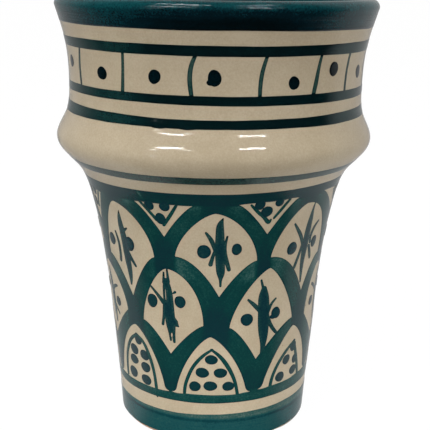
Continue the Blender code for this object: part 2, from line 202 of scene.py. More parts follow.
# Windows of the bottom row stand on the lower line, so they have no tip
BOTTOM_ROW = (
    Window((-64.9, LOWER_LINE_TOP), (-45.6, 28.7), (-27.1, LOWER_LINE_TOP), None, (1.5, 1.5), None),
    Window((-20.1, LOWER_LINE_TOP), (-0.9, 28.7), (19.3, LOWER_LINE_TOP), None, (1.4, 1.4), None),
    Window((29.1, LOWER_LINE_TOP), (48.2, 28.7), (64.9, LOWER_LINE_TOP), None, (1.35, 1.5), None),
)
# How far and how high the stems flare where they end on the lower line
STEM_END_FLARE = 2.8
STEM_END_HEIGHT = 1.4

# Notches between the crowns of the top row: left corner, right corner, lowest point
NOTCHES = (
    ((-77.0, 62.6), (-58.2, 62.8), (-66.4, 54.9)),
    ((-34.9, 63.0), (-8.6, 63.2), (-22.2, 54.7)),
    ((10.4, 63.6), (38.2, 64.1), (24.5, 55.5)),
    ((54.8, 64.4), (86.0, 63.3), (73.4, 57.4)),
)
NOTCH_POWER = 1.26
# Thin spot in the band above the net, and the lower edge of that band
BAND_CHIP = (-31.2, 65.3)
BAND_LOW = 63.35
BAND_LOW_TILT = 0.5
# Places where the net's paint lies thicker or thinner: angle, height, half width, half height,
# by how much
NET_PATCHES = (
    (-31.0, 46.5, 3.6, 2.6, 0.4),
    (-36.0, 44.0, 2.5, 2.5, 0.2),
    (24.0, 46.5, 2.2, 1.1, 0.3),
    (28.5, 47.3, 1.6, 0.9, 0.3),
    (34.0, 48.4, 1.8, 1.6, -0.25),
    (-9.0, 28.0, 3.0, 2.5, 0.2),
    (2.0, 31.5, 4.5, 5.5, 0.2),
    (-14.0, 57.5, 2.5, 3.0, -0.15),
    (-62.0, 44.0, 3.0, 3.0, 0.3),
)
# The net's plain load, and how much more or less paint lies where strokes cross, start and end
NET_LOAD = 0.98
STEM_MORE = 0.32
UPPER_START_LESS = 0.5
LOWER_START_LESS = 0.12
CROWN_START_LESS = 0.36
CROWN_MORE = 0.4
CROWN_Z = 62.8
BAND_MORE = 0.3
STEM_END_MORE = 0.25
STEM_END_Z = 21.0
LOWER_LINE_LESS = 0.2
CHIP_LESS = 1.1
ARCHES_ROUND = 8
# Unseen windows: how far they and their notches stray sideways in degrees, the share of it up and
# down, the least stem between two windows and the least way between two notches, in degrees
WINDOW_JITTER = 0.8
NOTCH_JITTER = 0.6
RISE_SHARE = 0.4
LEAST_STEM = 8.0
NOTCH_CLEARANCE = 20.0

# Brush strokes are lists of (angle, height, width). Dabs, and gaps that a leaf leaves bare, are
# (angle, height, width, height).
Sprig = namedtuple("Sprig", "strokes dabs gaps", defaults=((),))
TOP_SPRIGS = (
    Sprig(
        strokes=(
            ((-46.3, 59.3, 0.3), (-46.9, 57.1, 1.5), (-46.5, 53.7, 2.2), (-45.9, 50.4, 2.5),
             (-45.7, 46.8, 2.4), (-45.2, 43.5, 1.9), (-45.1, 41.6, 1.4), (-45.4, 39.9, 0.7)),
            ((-52.3, 53.1, 0.8), (-51.2, 51.0, 1.0), (-50.9, 48.5, 1.1), (-51.6, 45.6, 1.1)),
            ((-45.6, 54.1, 1.0), (-43.0, 55.0, 0.5)),
            ((-44.8, 48.8, 1.2), (-42.4, 46.7, 1.1), (-40.4, 45.3, 0.8)),
        ),
        dabs=((-56.8, 50.7, 3.0, 3.4), (-42.6, 50.9, 3.1, 3.9)),
    ),
    Sprig(
        strokes=(
            ((4.0, 60.2, 0.3), (3.1, 59.0, 1.3), (2.8, 56.5, 2.0), (2.9, 53.0, 2.3), (3.2, 49.0, 2.3),
             (3.5, 46.6, 2.2), (3.6, 45.6, 1.9), (3.6, 44.3, 1.0), (3.6, 42.5, 0.6)),
            ((-3.2, 56.4, 0.6), (-1.0, 54.6, 1.1), (0.7, 52.0, 0.9)),
            ((-1.2, 48.2, 1.1), (-0.3, 50.0, 0.9), (0.8, 52.0, 0.7)),
            ((6.1, 55.5, 0.5), (5.5, 54.0, 0.7), (5.4, 51.5, 0.8), (6.4, 48.6, 1.1), (7.4, 46.8, 1.0)),
        ),
        dabs=((-4.2, 51.5, 3.25, 3.7), (10.6, 52.1, 2.6, 2.95)),
    ),
    Sprig(
        strokes=(
            ((50.9, 62.2, 0.5), (50.4, 60.0, 0.9), (50.2, 57.8, 1.7), (49.8, 55.0, 2.3), (49.7, 52.0, 2.6),
             (49.6, 48.8, 2.3), (49.5, 45.5, 1.7), (49.9, 42.8, 1.2), (50.3, 40.5, 0.7)),
            ((39.4, 57.0, 0.6), (42.3, 55.1, 1.0), (45.3, 53.0, 1.2), (47.0, 51.2, 1.1)),
            ((47.0, 50.6, 1.0), (45.2, 47.3, 1.1), (43.6, 45.1, 1.1)),
            ((58.4, 56.0, 0.7), (55.4, 54.8, 1.1), (53.8, 53.5, 1.2), (53.2, 52.1, 1.1), (53.6, 50.9, 1.0)),
            ((53.0, 49.9, 1.0), (54.6, 48.2, 1.2), (56.1, 46.4, 1.0)),
        ),
        dabs=((40.1, 50.5, 3.3, 3.5), (57.3, 50.6, 2.8, 3.3)),
    ),
)
MIDDLE_SPRIGS = (
    Sprig(
        strokes=(
            ((-70.5, 41.0, 1.0), (-69.4, 36.5, 2.6), (-68.4, 31.5, 2.4), (-67.4, 26.5, 1.0)),
            ((-60.8, 37.2, 0.7), (-64.0, 36.7, 1.0), (-68.4, 35.0, 1.1)),
            ((-62.0, 29.3, 0.8), (-67.6, 31.5, 1.1)),
        ),
        dabs=((-61.5, 32.8, 2.8, 2.8), (-77.5, 36.0, 2.8, 3.0)),
    ),
    Sprig(
        strokes=(
            ((-23.1, 43.0, 1.5), (-22.9, 41.4, 2.2), (-22.5, 38.0, 2.7), (-22.2, 34.5, 2.8),
             (-21.7, 31.0, 2.6), (-21.3, 28.8, 1.9)),
            ((-24.5, 42.4, 0.8), (-24.1, 45.1, 0.5)),
            ((-21.9, 42.8, 0.9), (-22.3, 46.4, 0.45)),
            ((-22.3, 29.4, 1.0), (-22.1, 27.0, 0.6)),
            ((-20.5, 29.4, 1.1), (-20.1, 26.6, 0.7)),
            ((-32.0, 40.8, 0.6), (-29.0, 39.2, 0.9), (-25.2, 37.0, 1.3)),
            ((-24.9, 36.2, 0.9), (-25.6, 33.0, 0.8), (-26.3, 31.0, 0.8)),
            ((-19.8, 39.8, 0.4), (-18.7, 40.2, 0.75)),
            ((-20.4, 33.4, 1.0), (-19.0, 31.6, 1.7), (-17.6, 31.0, 0.5)),
        ),
        dabs=((-31.8, 36.9, 3.1, 3.7), (-16.3, 37.7, 2.8, 3.4)),
        gaps=((-23.8, 39.2, 0.16, 3.0), (-21.4, 28.4, 0.4, 1.2)),
    ),
    Sprig(
        strokes=(
            ((24.1, 43.3, 0.6), (24.9, 42.0, 0.7), (25.8, 40.7, 0.9)),
            ((26.0, 40.9, 1.6), (26.1, 39.4, 2.6), (26.7, 36.0, 3.2), (27.1, 32.0, 3.2),
             (27.6, 28.5, 2.7), (27.7, 25.5, 1.6), (27.2, 23.4, 1.0)),
            ((17.9, 38.4, 0.6), (20.5, 37.2, 1.0), (24.8, 35.0, 1.2)),
            ((33.5, 37.7, 0.6), (31.6, 36.8, 0.8), (29.5, 34.6, 1.0)),
            ((29.2, 33.6, 1.0), (31.5, 30.8, 1.1), (35.3, 28.4, 0.9)),
        ),
        dabs=((17.7, 33.1, 3.2, 3.4), (34.3, 33.8, 2.8, 3.2), (32.7, 32.9, 2.0, 1.3)),
    ),
    Sprig(
        strokes=(
            ((75.0, 41.0, 1.0), (75.0, 36.5, 2.6), (74.6, 31.5, 2.4), (74.4, 27.0, 1.0)),
            ((65.0, 37.9, 0.8), (68.5, 37.0, 1.0), (74.0, 34.6, 1.1)),
        ),
        dabs=((66.3, 33.1, 2.9, 2.7), (83.0, 36.0, 2.8, 3.0)),
    ),
)
# Inner arch of a bottom window as two limbs, and its seeds as (angle, height, width, height)
BOTTOM_SPRIGS = (
    Sprig(
        strokes=(
            ((-45.3, 25.9, 0.9), (-50.4, 24.1, 1.0), (-54.7, 21.2, 1.1), (-57.7, 17.5, 1.2),
             (-58.7, 12.8, 1.2)),
            ((-45.8, 25.9, 0.9), (-41.2, 24.7, 1.0), (-37.6, 22.1, 1.1), (-35.2, 19.0, 1.1),
             (-33.7, 15.5, 1.0), (-32.9, 11.0, 0.9), (-32.7, 9.9, 0.6)),
        ),
        dabs=((-44.5, 24.4, 2.8, 2.4), (-48.7, 21.3, 3.3, 3.0), (-40.4, 20.7, 3.2, 2.9),
              (-49.7, 18.3, 3.5, 2.8), (-40.2, 17.3, 3.5, 2.8), (-51.6, 14.4, 3.7, 3.1),
              (-40.4, 13.7, 3.7, 2.8)),
    ),
    Sprig(
        strokes=(
            ((0.2, 25.3, 0.6), (-3.0, 24.2, 0.8), (-7.0, 22.3, 0.9), (-10.5, 19.9, 0.9),
             (-13.0, 17.2, 0.9), (-14.6, 14.8, 0.9), (-15.2, 12.6, 0.9)),
            ((-0.4, 25.3, 0.6), (3.0, 24.0, 0.9), (7.0, 21.7, 1.1), (10.5, 18.8, 1.0),
             (13.0, 15.8, 0.9), (14.5, 12.5, 0.9)),
        ),
        dabs=((-0.3, 22.5, 3.2, 2.7), (-5.1, 18.8, 3.5, 2.8), (4.7, 18.8, 3.3, 2.8), (-9.2, 14.8, 3.1, 2.8),
              (-0.7, 15.1, 3.4, 2.8), (9.2, 15.0, 3.0, 2.7)),
    ),
    Sprig(
        strokes=(
            ((51.0, 24.1, 0.9), (46.8, 22.9, 1.0), (41.5, 20.6, 1.1), (37.3, 17.6, 1.1),
             (35.3, 15.0, 1.1), (34.5, 12.7, 1.1)),
            ((50.6, 24.1, 0.9), (53.2, 20.8, 1.2), (56.0, 17.3, 1.2), (57.8, 14.5, 1.2), (58.7, 12.7, 1.1)),
        ),
        dabs=((50.3, 22.6, 2.6, 2.8), (45.3, 19.5, 2.8, 2.7), (53.3, 18.7, 2.7, 2.6),
              (41.3, 15.1, 3.1, 2.9), (52.6, 15.6, 3.0, 2.8)),
    ),
)
NOTCH_SPRIGS = (
    Sprig(
        strokes=(
            ((-75.0, 62.8, 0.7), (-71.0, 60.6, 0.9), (-68.0, 58.4, 0.9)),
            ((-60.8, 62.8, 0.7), (-63.4, 60.8, 0.9), (-65.2, 58.4, 0.9)),
        ),
        dabs=((-71.5, 62.3, 2.6, 2.4), (-66.0, 62.4, 2.6, 2.4), (-68.0, 59.4, 2.6, 2.6)),
    ),
    Sprig(
        strokes=(
            ((-32.3, 63.3, 0.7), (-28.0, 60.8, 0.9), (-25.0, 58.9, 0.9)),
            ((-15.3, 63.2, 0.7), (-18.5, 60.4, 0.9), (-21.8, 57.8, 0.9)),
        ),
        dabs=((-27.7, 62.6, 2.7, 2.7), (-20.6, 62.6, 2.8, 2.5), (-23.1, 59.3, 2.8, 3.0)),
    ),
    Sprig(
        strokes=(
            ((15.5, 63.4, 0.6), (19.4, 61.2, 0.9), (22.4, 59.7, 1.0), (24.7, 58.7, 1.0), (25.3, 59.2, 0.6)),
            ((33.2, 64.0, 0.8), (30.0, 61.7, 0.9), (26.8, 59.6, 0.7)),
        ),
        dabs=((19.3, 63.3, 2.7, 2.6), (22.8, 61.4, 3.1, 2.9), (28.3, 63.6, 2.4, 2.4)),
    ),
    Sprig(
        strokes=(
            ((67.6, 63.7, 0.7), (70.6, 61.9, 0.9), (73.2, 60.2, 0.9)),
            ((81.0, 63.2, 0.7), (77.6, 61.6, 0.9), (74.4, 60.0, 0.9)),
        ),
        dabs=((71.8, 63.5, 2.3, 2.2), (77.0, 63.4, 2.3, 2.2), (74.2, 61.2, 2.3, 2.3)),
    ),
)

# Uprights of the neck panels and the spot in each panel
UPRIGHTS = (
    ((-58.1, 88.8, 1.0), (-59.1, 93.7, 1.1), (-57.2, 98.7, 0.8)),
    ((-34.1, 88.8, 1.1), (-33.7, 93.8, 0.9), (-33.1, 98.8, 0.8)),
    ((-7.9, 88.8, 1.0), (-8.6, 94.0, 1.1), (-7.9, 96.4, 1.0), (-6.4, 98.7, 0.8)),
    ((15.3, 88.8, 0.9), (15.7, 94.0, 1.0), (17.5, 98.8, 0.8)),
    ((36.5, 88.8, 1.2), (37.6, 92.0, 1.3), (38.4, 95.6, 1.0), (39.2, 98.8, 0.9)),
    ((54.5, 88.8, 1.0), (55.0, 94.0, 1.0), (55.9, 98.8, 1.0)),
)
PANEL_DOTS = (
    (-68.0, 94.7, 3.3, 3.1),
    (-44.0, 93.1, 3.4, 3.1),
    (-21.1, 93.3, 3.0, 3.3),
    (-0.3, 93.4, 3.0, 3.8),
    (28.0, 92.1, 2.9, 3.1),
    (46.3, 94.7, 3.4, 3.3),
    (66.0, 93.2, 3.4, 3.2),
)
DOT_TAIL = (-1.7, 92.4, 1.7, 1.4)
COLLAR_HAIRS = (
    ((-21.5, 82.15, 0.3), (-19.5, 82.05, 0.4), (-17.0, 82.15, 0.3)),
    ((-12.0, 82.15, 0.3), (-10.0, 82.05, 0.4), (-6.5, 82.15, 0.3)),
)
PANELS_ROUND = 16
# Unseen spots: at what height they sit, how wide and tall they are, and how far uprights and spots
# stray
UNSEEN_SPOT = (93.6, 3.1, 3.2)
UPRIGHT_JITTER = 1.0
SPOT_JITTER = 2.0
SPOT_RISE = 0.8
# The stripes' load at the sides, how much darker they are made in front and where strokes cross, and
# how far the front reaches to both sides and fades on the left and right, in degrees
STRIPE_LOAD = 0.85
STRIPE_FRONT_MORE = 0.55
STRIPE_CROSSING_MORE = 0.1
STRIPE_FRONT = 36.0
STRIPE_FRONT_FADES = (16.0, 20.0)
# The foot band's load, its pale strip along the top and the dark line below that
FOOT_LOAD = 0.95
FOOT_STRIP_LESS = 0.5
FOOT_STRIP_Z = 5.3
FOOT_LINE_MORE = 0.65
FOOT_LINE_Z = 5.05

# Colours, linear
CREAM = (0.49, 0.411, 0.294)
CREAM_SHADE = (0.42, 0.346, 0.238)
SPECK = (0.16, 0.12, 0.08)
CLAY = (0.5, 0.3, 0.19)
CLAY_DARK = (0.38, 0.2, 0.115)
# A paint's five colours, from a thin wash to where it lies deepest
PAINT_LOADS = (0.0, 0.45, 0.72, 1.0, 1.4)
NET_GREEN = (
    (0.13, 0.19, 0.155),
    (0.031, 0.088, 0.08),
    (0.009, 0.056, 0.052),
    (0.003, 0.0385, 0.0365),
    (0.004, 0.0265, 0.033),
)
FOOT_GREEN = (
    (0.12, 0.19, 0.16),
    (0.037, 0.087, 0.077),
    (0.013, 0.07, 0.07),
    (0.008, 0.062, 0.068),
    (0.003, 0.035, 0.041),
)
STRIPE_GREEN = (
    (0.1, 0.14, 0.12),
    (0.029, 0.062, 0.053),
    (0.008, 0.034, 0.032),
    (0.003, 0.02, 0.021),
    (0.0012, 0.0078, 0.009),
)
SPOT_BLUE = (
    (0.1, 0.14, 0.12),
    (0.03, 0.07, 0.065),
    (0.009, 0.042, 0.042),
    (0.004, 0.03, 0.037),
    (0.0025, 0.018, 0.029),
)
RIM_TEAL = (
    (0.02, 0.1, 0.11),
    (0.004, 0.055, 0.062),
    (0.0025, 0.027, 0.034),
    (0.0011, 0.0115, 0.0168),
    (0.0004, 0.0038, 0.005),
)
GLAZE_IOR = 1.5
FULL_LOAD = 1.6

# Camera: where it stands, how it looks and its lens
CAMERA_PLACE = (0.0005, -0.2447, 0.1164)
CAMERA_PITCH = radians(14.43)
CAMERA_ROLL = radians(0.8)
SENSOR = 36.0
FOCAL_LENGTH = 78.7
CAMERA_SHIFT = (-0.002, 0.0015)

# Strips of light that the bulge and the lip mirror: bearing, height, width and tilt in degrees,
# brightness
GLINTS = (
    (-34.0, 35.0, 17.0, 11.0, 75.0),
    (31.0, 35.0, 16.0, -11.0, 75.0),
    (-44.5, 27.5, 5.0, 0.0, 30.0),
    (-20.0, 33.5, 5.0, 0.0, 30.0),
    (-42.0, 6.0, 7.0, 0.0, 25.0),
    (-40.0, 64.0, 24.0, 0.0, 80.0),
    (53.0, 64.0, 15.0, 0.0, 80.0),
)
GLINT_REACH = 1.5
GLINT_THICK = 0.85
BULGE_PLACE = (0.0, 0.0, 0.078)
# Lamps: their size and where they point, and the foot lamps' spread in degrees, softness and level
LAMP_SIZE = 0.3
LAMP_TARGET = (0.0, 0.0, 0.06)
FOOT_TARGET = (0.0, -0.02, 0.0)
FOOT_LAMP_SPREAD = 13.5
FOOT_LAMP_SOFTNESS = 0.06
FOOT_LAMP_LEVEL = 0.49
# Radius and corners of the studio's floor
STUDIO_REACH = 6.0
STUDIO_CORNERS = 64

rng = random.Random(7)


def spline(knots, values):
    """Smooth curve through the values at the knots, as a function of arrays."""
    knots, values = np.asarray(knots, float), np.asarray(values, float)
    count = len(knots)
    gaps = np.diff(knots)
    system, pull = np.eye(count), np.zeros(count)
    for i in range(1, count - 1):
        system[i, i - 1:i + 2] = gaps[i - 1], 2 * (gaps[i - 1] + gaps[i]), gaps[i]
        pull[i] = 6 * ((values[i + 1] - values[i]) / gaps[i] - (values[i] - values[i - 1]) / gaps[i - 1])
    bend = np.linalg.solve(system, pull)

    def curve(x):
        i = np.clip(np.searchsorted(knots, x) - 1, 0, count - 2)
        gap = gaps[i]
        a, b = (knots[i + 1] - x) / gap, (x - knots[i]) / gap
        straight = a * values[i] + b * values[i + 1]
        return straight + ((a**3 - a) * bend[i] + (b**3 - b) * bend[i + 1]) * gap * gap / 6

    return curve


outside_radius = spline(*zip(*OUTSIDE))
inside_radius = spline(*zip(*INSIDE))
sway = spline(*zip(*SWAY))


def ripple(angles, heights):
    """Unevenness of the thrown wall, in millimetres: soft lumps and faint throwing rings."""
    turn = np.radians(angles)
    lumps = 0.05 * np.sin(2 * turn + 0.8 + heights / 40) + 0.03 * np.sin(3 * turn - heights / 21)
    rings = 0.005 * np.sin(2 * pi * heights / 3.4 + turn) + 0.002 * np.sin(2 * pi * heights / 1.9 - turn)
    return lumps + rings + sway(heights) * np.sin(turn)


def around(radii, angles, heights):
    """Points in metres from radius, angle and height."""
    turn = np.radians(angles)
    return np.stack([radii * np.sin(turn), -radii * np.cos(turn), heights - FOOT_Z + 0 * turn], -1) * MM


def slope(radius, heights):
    """How much a radius grows with height."""
    return (radius(heights + SLOPE_STEP) - radius(heights - SLOPE_STEP)) / (2 * SLOPE_STEP)


def wall_points(angles, heights, lifts):
    """Points that stand off the outside of the wall, in metres."""
    angles, heights = np.asarray(angles, float), np.asarray(heights, float)
    lean = slope(outside_radius, heights)
    length = np.hypot(1.0, lean)
    radii = outside_radius(heights) + lifts / length + ripple(angles, heights)
    return around(radii, angles, heights - lifts * lean / length)


def ease(x):
    x = np.clip(x, 0.0, 1.0)
    return x * x * (3 - 2 * x)


def bell(distance, width, power=2):
    """1 at the middle, falling to nothing past the width."""
    return np.exp(-((distance / width) ** power))


def waves(angles, terms):
    """Sum of waves round the cup; each term is its size, how many go round and its phase."""
    turn = np.radians(angles)
    return sum(size * np.sin(count * turn + phase) for size, count, phase in terms)


def gathered(heights, top, *runs):
    """Load of paint that has run down: each run adds its share from a height downwards."""
    return top + sum(more * ease((start - heights) / length) for start, length, more in runs)


def angle_from(angles, centre):
    return (angles - centre + HALF_TURN) % FULL_TURN - HALF_TURN


def turn_back(angle):
    """The full turn to take off an angle that has gone past the back."""
    return FULL_TURN if angle > HALF_TURN else 0.0


def mesh_piece(name, points, faces, material, sharp=None, **values):
    """A smooth mesh object, with named values at its points for its material."""
    mesh = bpy.data.meshes.new(name)
    mesh.from_pydata(points.tolist(), [], faces)
    mesh.materials.append(material)
    mesh.shade_smooth()
    for key, numbers in values.items():
        attribute = mesh.attributes.new(key, "FLOAT", "POINT")
        attribute.data.foreach_set("value", np.asarray(numbers, np.float32))
    if sharp:
        ends = np.empty(len(mesh.edges) * 2, np.int64)
        mesh.edges.foreach_get("vertices", ends)
        ends = np.sort(ends.reshape(-1, 2), axis=1)
        marks = [tuple(pair) in sharp for pair in ends.tolist()]
        attribute = mesh.attributes.new("sharp_edge", "BOOLEAN", "EDGE")
        attribute.data.foreach_set("value", marks)
    mesh.update()
    piece = bpy.data.objects.new(name, mesh)
    bpy.context.scene.collection.objects.link(piece)
    return piece


def dress(piece, slot, *nodes):
    """Ties a piece to the cup and hides the plain solids that it stands for. The slot, its finish, is not
    used.
    """
    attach(piece, "root")
    if nodes:
        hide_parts(*nodes)


# Turned pieces


def turned(name, outline, material, shift=None, closed=True, **values):
    """Turns an outline of (radius, height) once round; an open one starts and ends on the axis.

    Shift moves its points up and out; values are worked out from angle and height.
    """
    outline = np.asarray(outline, float)
    count = len(outline)
    angles = np.arange(SEGMENTS) * FULL_TURN / SEGMENTS - HALF_TURN
    radii, turns = np.meshgrid(outline[:, 0], angles)
    heights = np.broadcast_to(outline[:, 1], radii.shape)
    firm = np.clip(radii / FIRM_RADIUS, 0.0, 1.0)
    if shift is not None:
        rise, spread = shift(turns, heights, radii)
        heights, radii = heights + rise, radii + spread
    points = around(radii + firm * ripple(turns, heights), turns, heights).reshape(-1, 3)
    faces = []
    last = count if closed else count - 1
    for i in range(SEGMENTS):
        near, far = i * count, (i + 1) % SEGMENTS * count
        for j in range(last):
            k = (j + 1) % count
            faces.append((near + j, far + j, far + k, near + k))
    spread = {key: work_out(turns, heights).ravel() for key, work_out in values.items()}
    piece = mesh_piece(name, points, faces, material, **spread)
    return piece if closed else weld_poles(piece)


def weld_poles(piece):
    """Joins the points that lie together on the axis."""
    builder = bmesh.new()
    builder.from_mesh(piece.data)
    poles = [v for v in builder.verts if v.co.xy.length < ON_AXIS]
    bmesh.ops.remove_doubles(builder, verts=poles, dist=ON_AXIS)
    builder.to_mesh(piece.data)
    builder.free()
    return piece


def outside_outline(low, high, lift, step):
    heights = np.linspace(low, high, max(2, round((high - low) / step) + 1))
    points = wall_points(0.0 * heights, heights, lift) / MM
    plain = ripple(0.0 * heights, heights)
    return [(-y - bump, z + FOOT_Z) for (_, y, z), bump in zip(points, plain)]


def inside_outline(low, high, depth, step):
    heights = np.linspace(low, high, max(2, round((high - low) / step) + 1))
    return [(r + depth, z) for r, z in zip(inside_radius(heights), heights)]


def lip_outline(radius, start, end, steps):
    """Arc over the lip, from the outside (0 degrees) to the inside (180)."""
    angles = np.radians(np.linspace(start, end, steps + 1))
    centre = RIM_RADIUS - LIP_RADIUS
    return [(centre + radius * cos(a), LIP_Z + radius * sin(a)) for a in angles]


def floor_outline(depth, steps):
    """Flat inner floor and its fillet, from the axis to the foot of the wall."""
    wall_z = FLOOR_Z + FLOOR_FILLET
    centre = INSIDE[0][1] - FLOOR_FILLET
    reach = FLOOR_FILLET + depth
    angles = np.radians(np.linspace(QUARTER_TURN, FILLET_END, steps))
    flat = [(centre * t, FLOOR_Z - depth) for t in (0.0, 0.25, 0.5, 0.75)]
    return flat + [(centre + reach * cos(a), wall_z - reach * sin(a)) for a in angles]


def foot_shift(angles, heights, radii):
    """How far the glaze line at the foot strays from level."""
    near_edge = np.clip(1 - (heights - BARE_FOOT) / FOOT_EDGE_FADE, 0.0, 1.0)
    rise = waves(angles, FOOT_EDGE_WAVES) * near_edge
    return rise, rise * slope(outside_radius, heights)


def foot_swell(angles, heights, radii):
    """The bare foot spreads a little on the left."""
    lean = bell(angle_from(angles, FOOT_SWELL_ANGLE), FOOT_SWELL_WIDTH)
    outer = radii > OUTSIDE[0][1] - FOOT_SWELL_DEPTH
    return 0.0, FOOT_SWELL * lean * np.clip(1 - (heights - FOOT_Z), 0.0, 1.0) * outer


def foot_outline():
    """Underside from the axis: turned recess, its bevel, foot ring and chamfer."""
    ring_inner = OUTSIDE[0][1] - FOOT_RING_WIDTH
    ring_outer = OUTSIDE[0][1] - GLAZE_DEPTH - FOOT_CHAMFER
    recess_edge = ring_inner - FOOT_RECESS
    recess_z = FOOT_Z + FOOT_RECESS
    shares = np.linspace(0.0, 1.0, TURNING_POINTS)
    outline = [(recess_edge * t, recess_z + TURNING_DEPTH * sin(t * TURNING_WAVES)) for t in shares]
    for t in (0.35, 0.7):
        outline.append((recess_edge + FOOT_RECESS * t, FOOT_Z + FOOT_RECESS * cos(t * pi / 2)))
    for radius in (ring_inner + 0.3, (ring_inner + ring_outer) / 2, ring_outer):
        outline.append((radius, FOOT_Z))
    for turn in (0.5, 1.0):
        outline.append((ring_outer + FOOT_CHAMFER * sin(turn), FOOT_Z + FOOT_CHAMFER * (1 - cos(turn))))
    return outline


def clay_body(material):
    """Biscuit: bare foot and turned underside, and the clay under the coats."""
    depth = GLAZE_DEPTH
    outline = foot_outline()
    outline += outside_outline(FOOT_Z + FOOT_CHAMFER, CLAY_FINE_TOP, -depth, CLAY_FINE_STEP)
    outline += outside_outline(CLAY_FINE_TOP + CLAY_STEP, LIP_Z, -depth, CLAY_STEP)
    outline += lip_outline(LIP_RADIUS - depth, 20, 160, 6)
    outline += inside_outline(FLOOR_Z + FLOOR_FILLET, LIP_Z, depth, 2 * CLAY_STEP)[::-1]
    outline += floor_outline(depth, 5)[::-1]
    return turned("clay_surface", outline, material, foot_swell, closed=False)


def outer_glaze(material):
    """Cream coat outside, from the bare foot to the top of the lip."""
    face = outside_outline(BARE_FOOT, LIP_Z, 0.0, 0.62)[:-1] + lip_outline(LIP_RADIUS, 0, 90, 8)
    back = outside_outline(BARE_FOOT, LIP_Z, -GLAZE_DEPTH, 5.0)[:-1]
    back += lip_outline(LIP_RADIUS - GLAZE_DEPTH, 0, 90, 3)
    return turned("outside_coat", face + back[::-1], material, foot_shift)


def inner_glaze(material):
    """Cream liner, from the floor to the top of the lip."""
    low = FLOOR_Z + FLOOR_FILLET
    face = floor_outline(0.0, 9) + inside_outline(low, RIM_INSIDE_EDGE, 0.0, 1.2)[:-1]
    face += inside_outline(RIM_INSIDE_EDGE, LIP_Z, 0.0, 0.3)[:-1] + lip_outline(LIP_RADIUS, 180, 91, 8)
    back = floor_outline(GLAZE_DEPTH, 5) + inside_outline(low, LIP_Z, GLAZE_DEPTH, 6.0)[:-1]
    back += lip_outline(LIP_RADIUS - GLAZE_DEPTH, 180, 91, 3)
    return turned("inside_coat", face + back[::-1], material, closed=False)


def rim_shift(angles, heights, radii):
    """Hand-drawn edges of the rim band, outside and inside."""
    near_edge = np.clip(1 - (heights - RIM_OUTSIDE_EDGE) / RIM_EDGE_FADE, 0.0, 1.0)
    outside = radii > RIM_RADIUS - LIP_RADIUS
    strays = np.where(outside, waves(angles, RIM_OUTSIDE_WAVES), waves(angles, RIM_INSIDE_WAVES))
    leans = np.where(outside, slope(outside_radius, heights), slope(inside_radius, heights))
    return near_edge * strays, near_edge * strays * leans


def rim_band(material):
    """Green coat over the lip, pale on the crest from thin glaze and a painted highlight, dark below."""
    def coat(lift, step, lip_steps):
        outer = outside_outline(RIM_OUTSIDE_EDGE, LIP_Z, lift, step)[:-1]
        inner = inside_outline(RIM_INSIDE_EDGE, LIP_Z, -lift, step)[:-1]
        return outer + lip_outline(LIP_RADIUS + lift, 0, 180, lip_steps) + inner[::-1]

    face = coat(FILM, 0.3, 20)
    back = coat(-FILM_SINK, 1.5, 8)

    # Pale crest and dark lower edge: thin, gathering glaze and a painted highlight of light from above
    def load(angles, heights):
        front = bell(angle_from(angles, RIM_FRONT), RIM_FRONT_WIDTH, 4)
        thin = gathered(heights, *RIM_SIDE_GATHER_AND_LIGHT)
        return thin + (gathered(heights, *RIM_FRONT_GATHER_AND_LIGHT) - thin) * front

    def edge(angles, heights):
        return np.minimum(heights - RIM_OUTSIDE_EDGE, FAR_FROM_EDGE)

    return turned("rim_coat", face + back[::-1], material, rim_shift, load=load, edge=edge)


# Brushed pieces: flat outlines of (angle, height), laid on the wall as thin films


def smooth_line(points, step):
    """Even samples along a smooth curve through (angle, height, width) points, in millimetres."""
    points = np.asarray(points, float)
    radius = float(outside_radius(points[:, 1].mean()))
    flat = np.column_stack([np.radians(points[:, 0]) * radius, points[:, 1], points[:, 2]])
    knots = np.concatenate([[0.0], np.cumsum(np.hypot(*np.diff(flat[:, :2], axis=0).T))])
    places = np.linspace(0.0, knots[-1], max(4, round(knots[-1] / step)))
    return np.column_stack([spline(knots, flat[:, i])(places) for i in range(3)]), radius


def brush(points, step=0.3, cap=5):
    """Outline of one brush stroke with round ends."""
    line, radius = smooth_line(points, step)
    along = np.gradient(line[:, :2], axis=0)
    along /= np.hypot(along[:, 0], along[:, 1])[:, None]
    side = np.column_stack([-along[:, 1], along[:, 0]]) * np.maximum(line[:, 2:], LEAST_WIDTH) / 2
    right, left = line[:, :2] - side, (line[:, :2] + side)[::-1]
    turns = np.linspace(0, pi, cap + 2)[1:-1]
    end = [line[-1, :2] - side[-1] * cos(t) + along[-1] * np.hypot(*side[-1]) * sin(t) for t in turns]
    start = [line[0, :2] + side[0] * cos(t) - along[0] * np.hypot(*side[0]) * sin(t) for t in turns]
    outline = np.vstack([right, end, left, start])
    return np.column_stack([np.degrees(outline[:, 0] / radius), outline[:, 1]])


def dab(angle, height, wide, tall, wobble=0.035):
    """Outline of a touch of the brush: a slightly uneven oval."""
    radius = float(outside_radius(height))
    turns = np.linspace(0, 2 * pi, 28, endpoint=False)
    phase = [rng.uniform(0, 2 * pi) for _ in range(3)]
    swell = 1 + wobble * np.sin(2 * turns + phase[0]) + 0.5 * wobble * np.sin(3 * turns + phase[1])
    swell += 0.25 * wobble * np.sin(5 * turns + phase[2])
    across = np.degrees(wide / 2 * swell * np.cos(turns) / radius)
    return np.column_stack([angle + across, height + tall / 2 * swell * np.sin(turns)])


def ring_edge(angles, height, tilt, bow, waver, seed):
    """Edge of a banded ring: level but for a tilt, a rise at the sides and a small wavering."""
    turn = np.radians(angles)
    phase = np.random.RandomState(seed).uniform(0, 2 * pi, 4)
    unevenness = sum(np.sin(n * turn + p) / (1 + 0.1 * n) for n, p in zip((3, 7, 13, 29), phase))
    return height + tilt * np.sin(turn) + bow * np.sin(turn) ** 2 + waver * unevenness


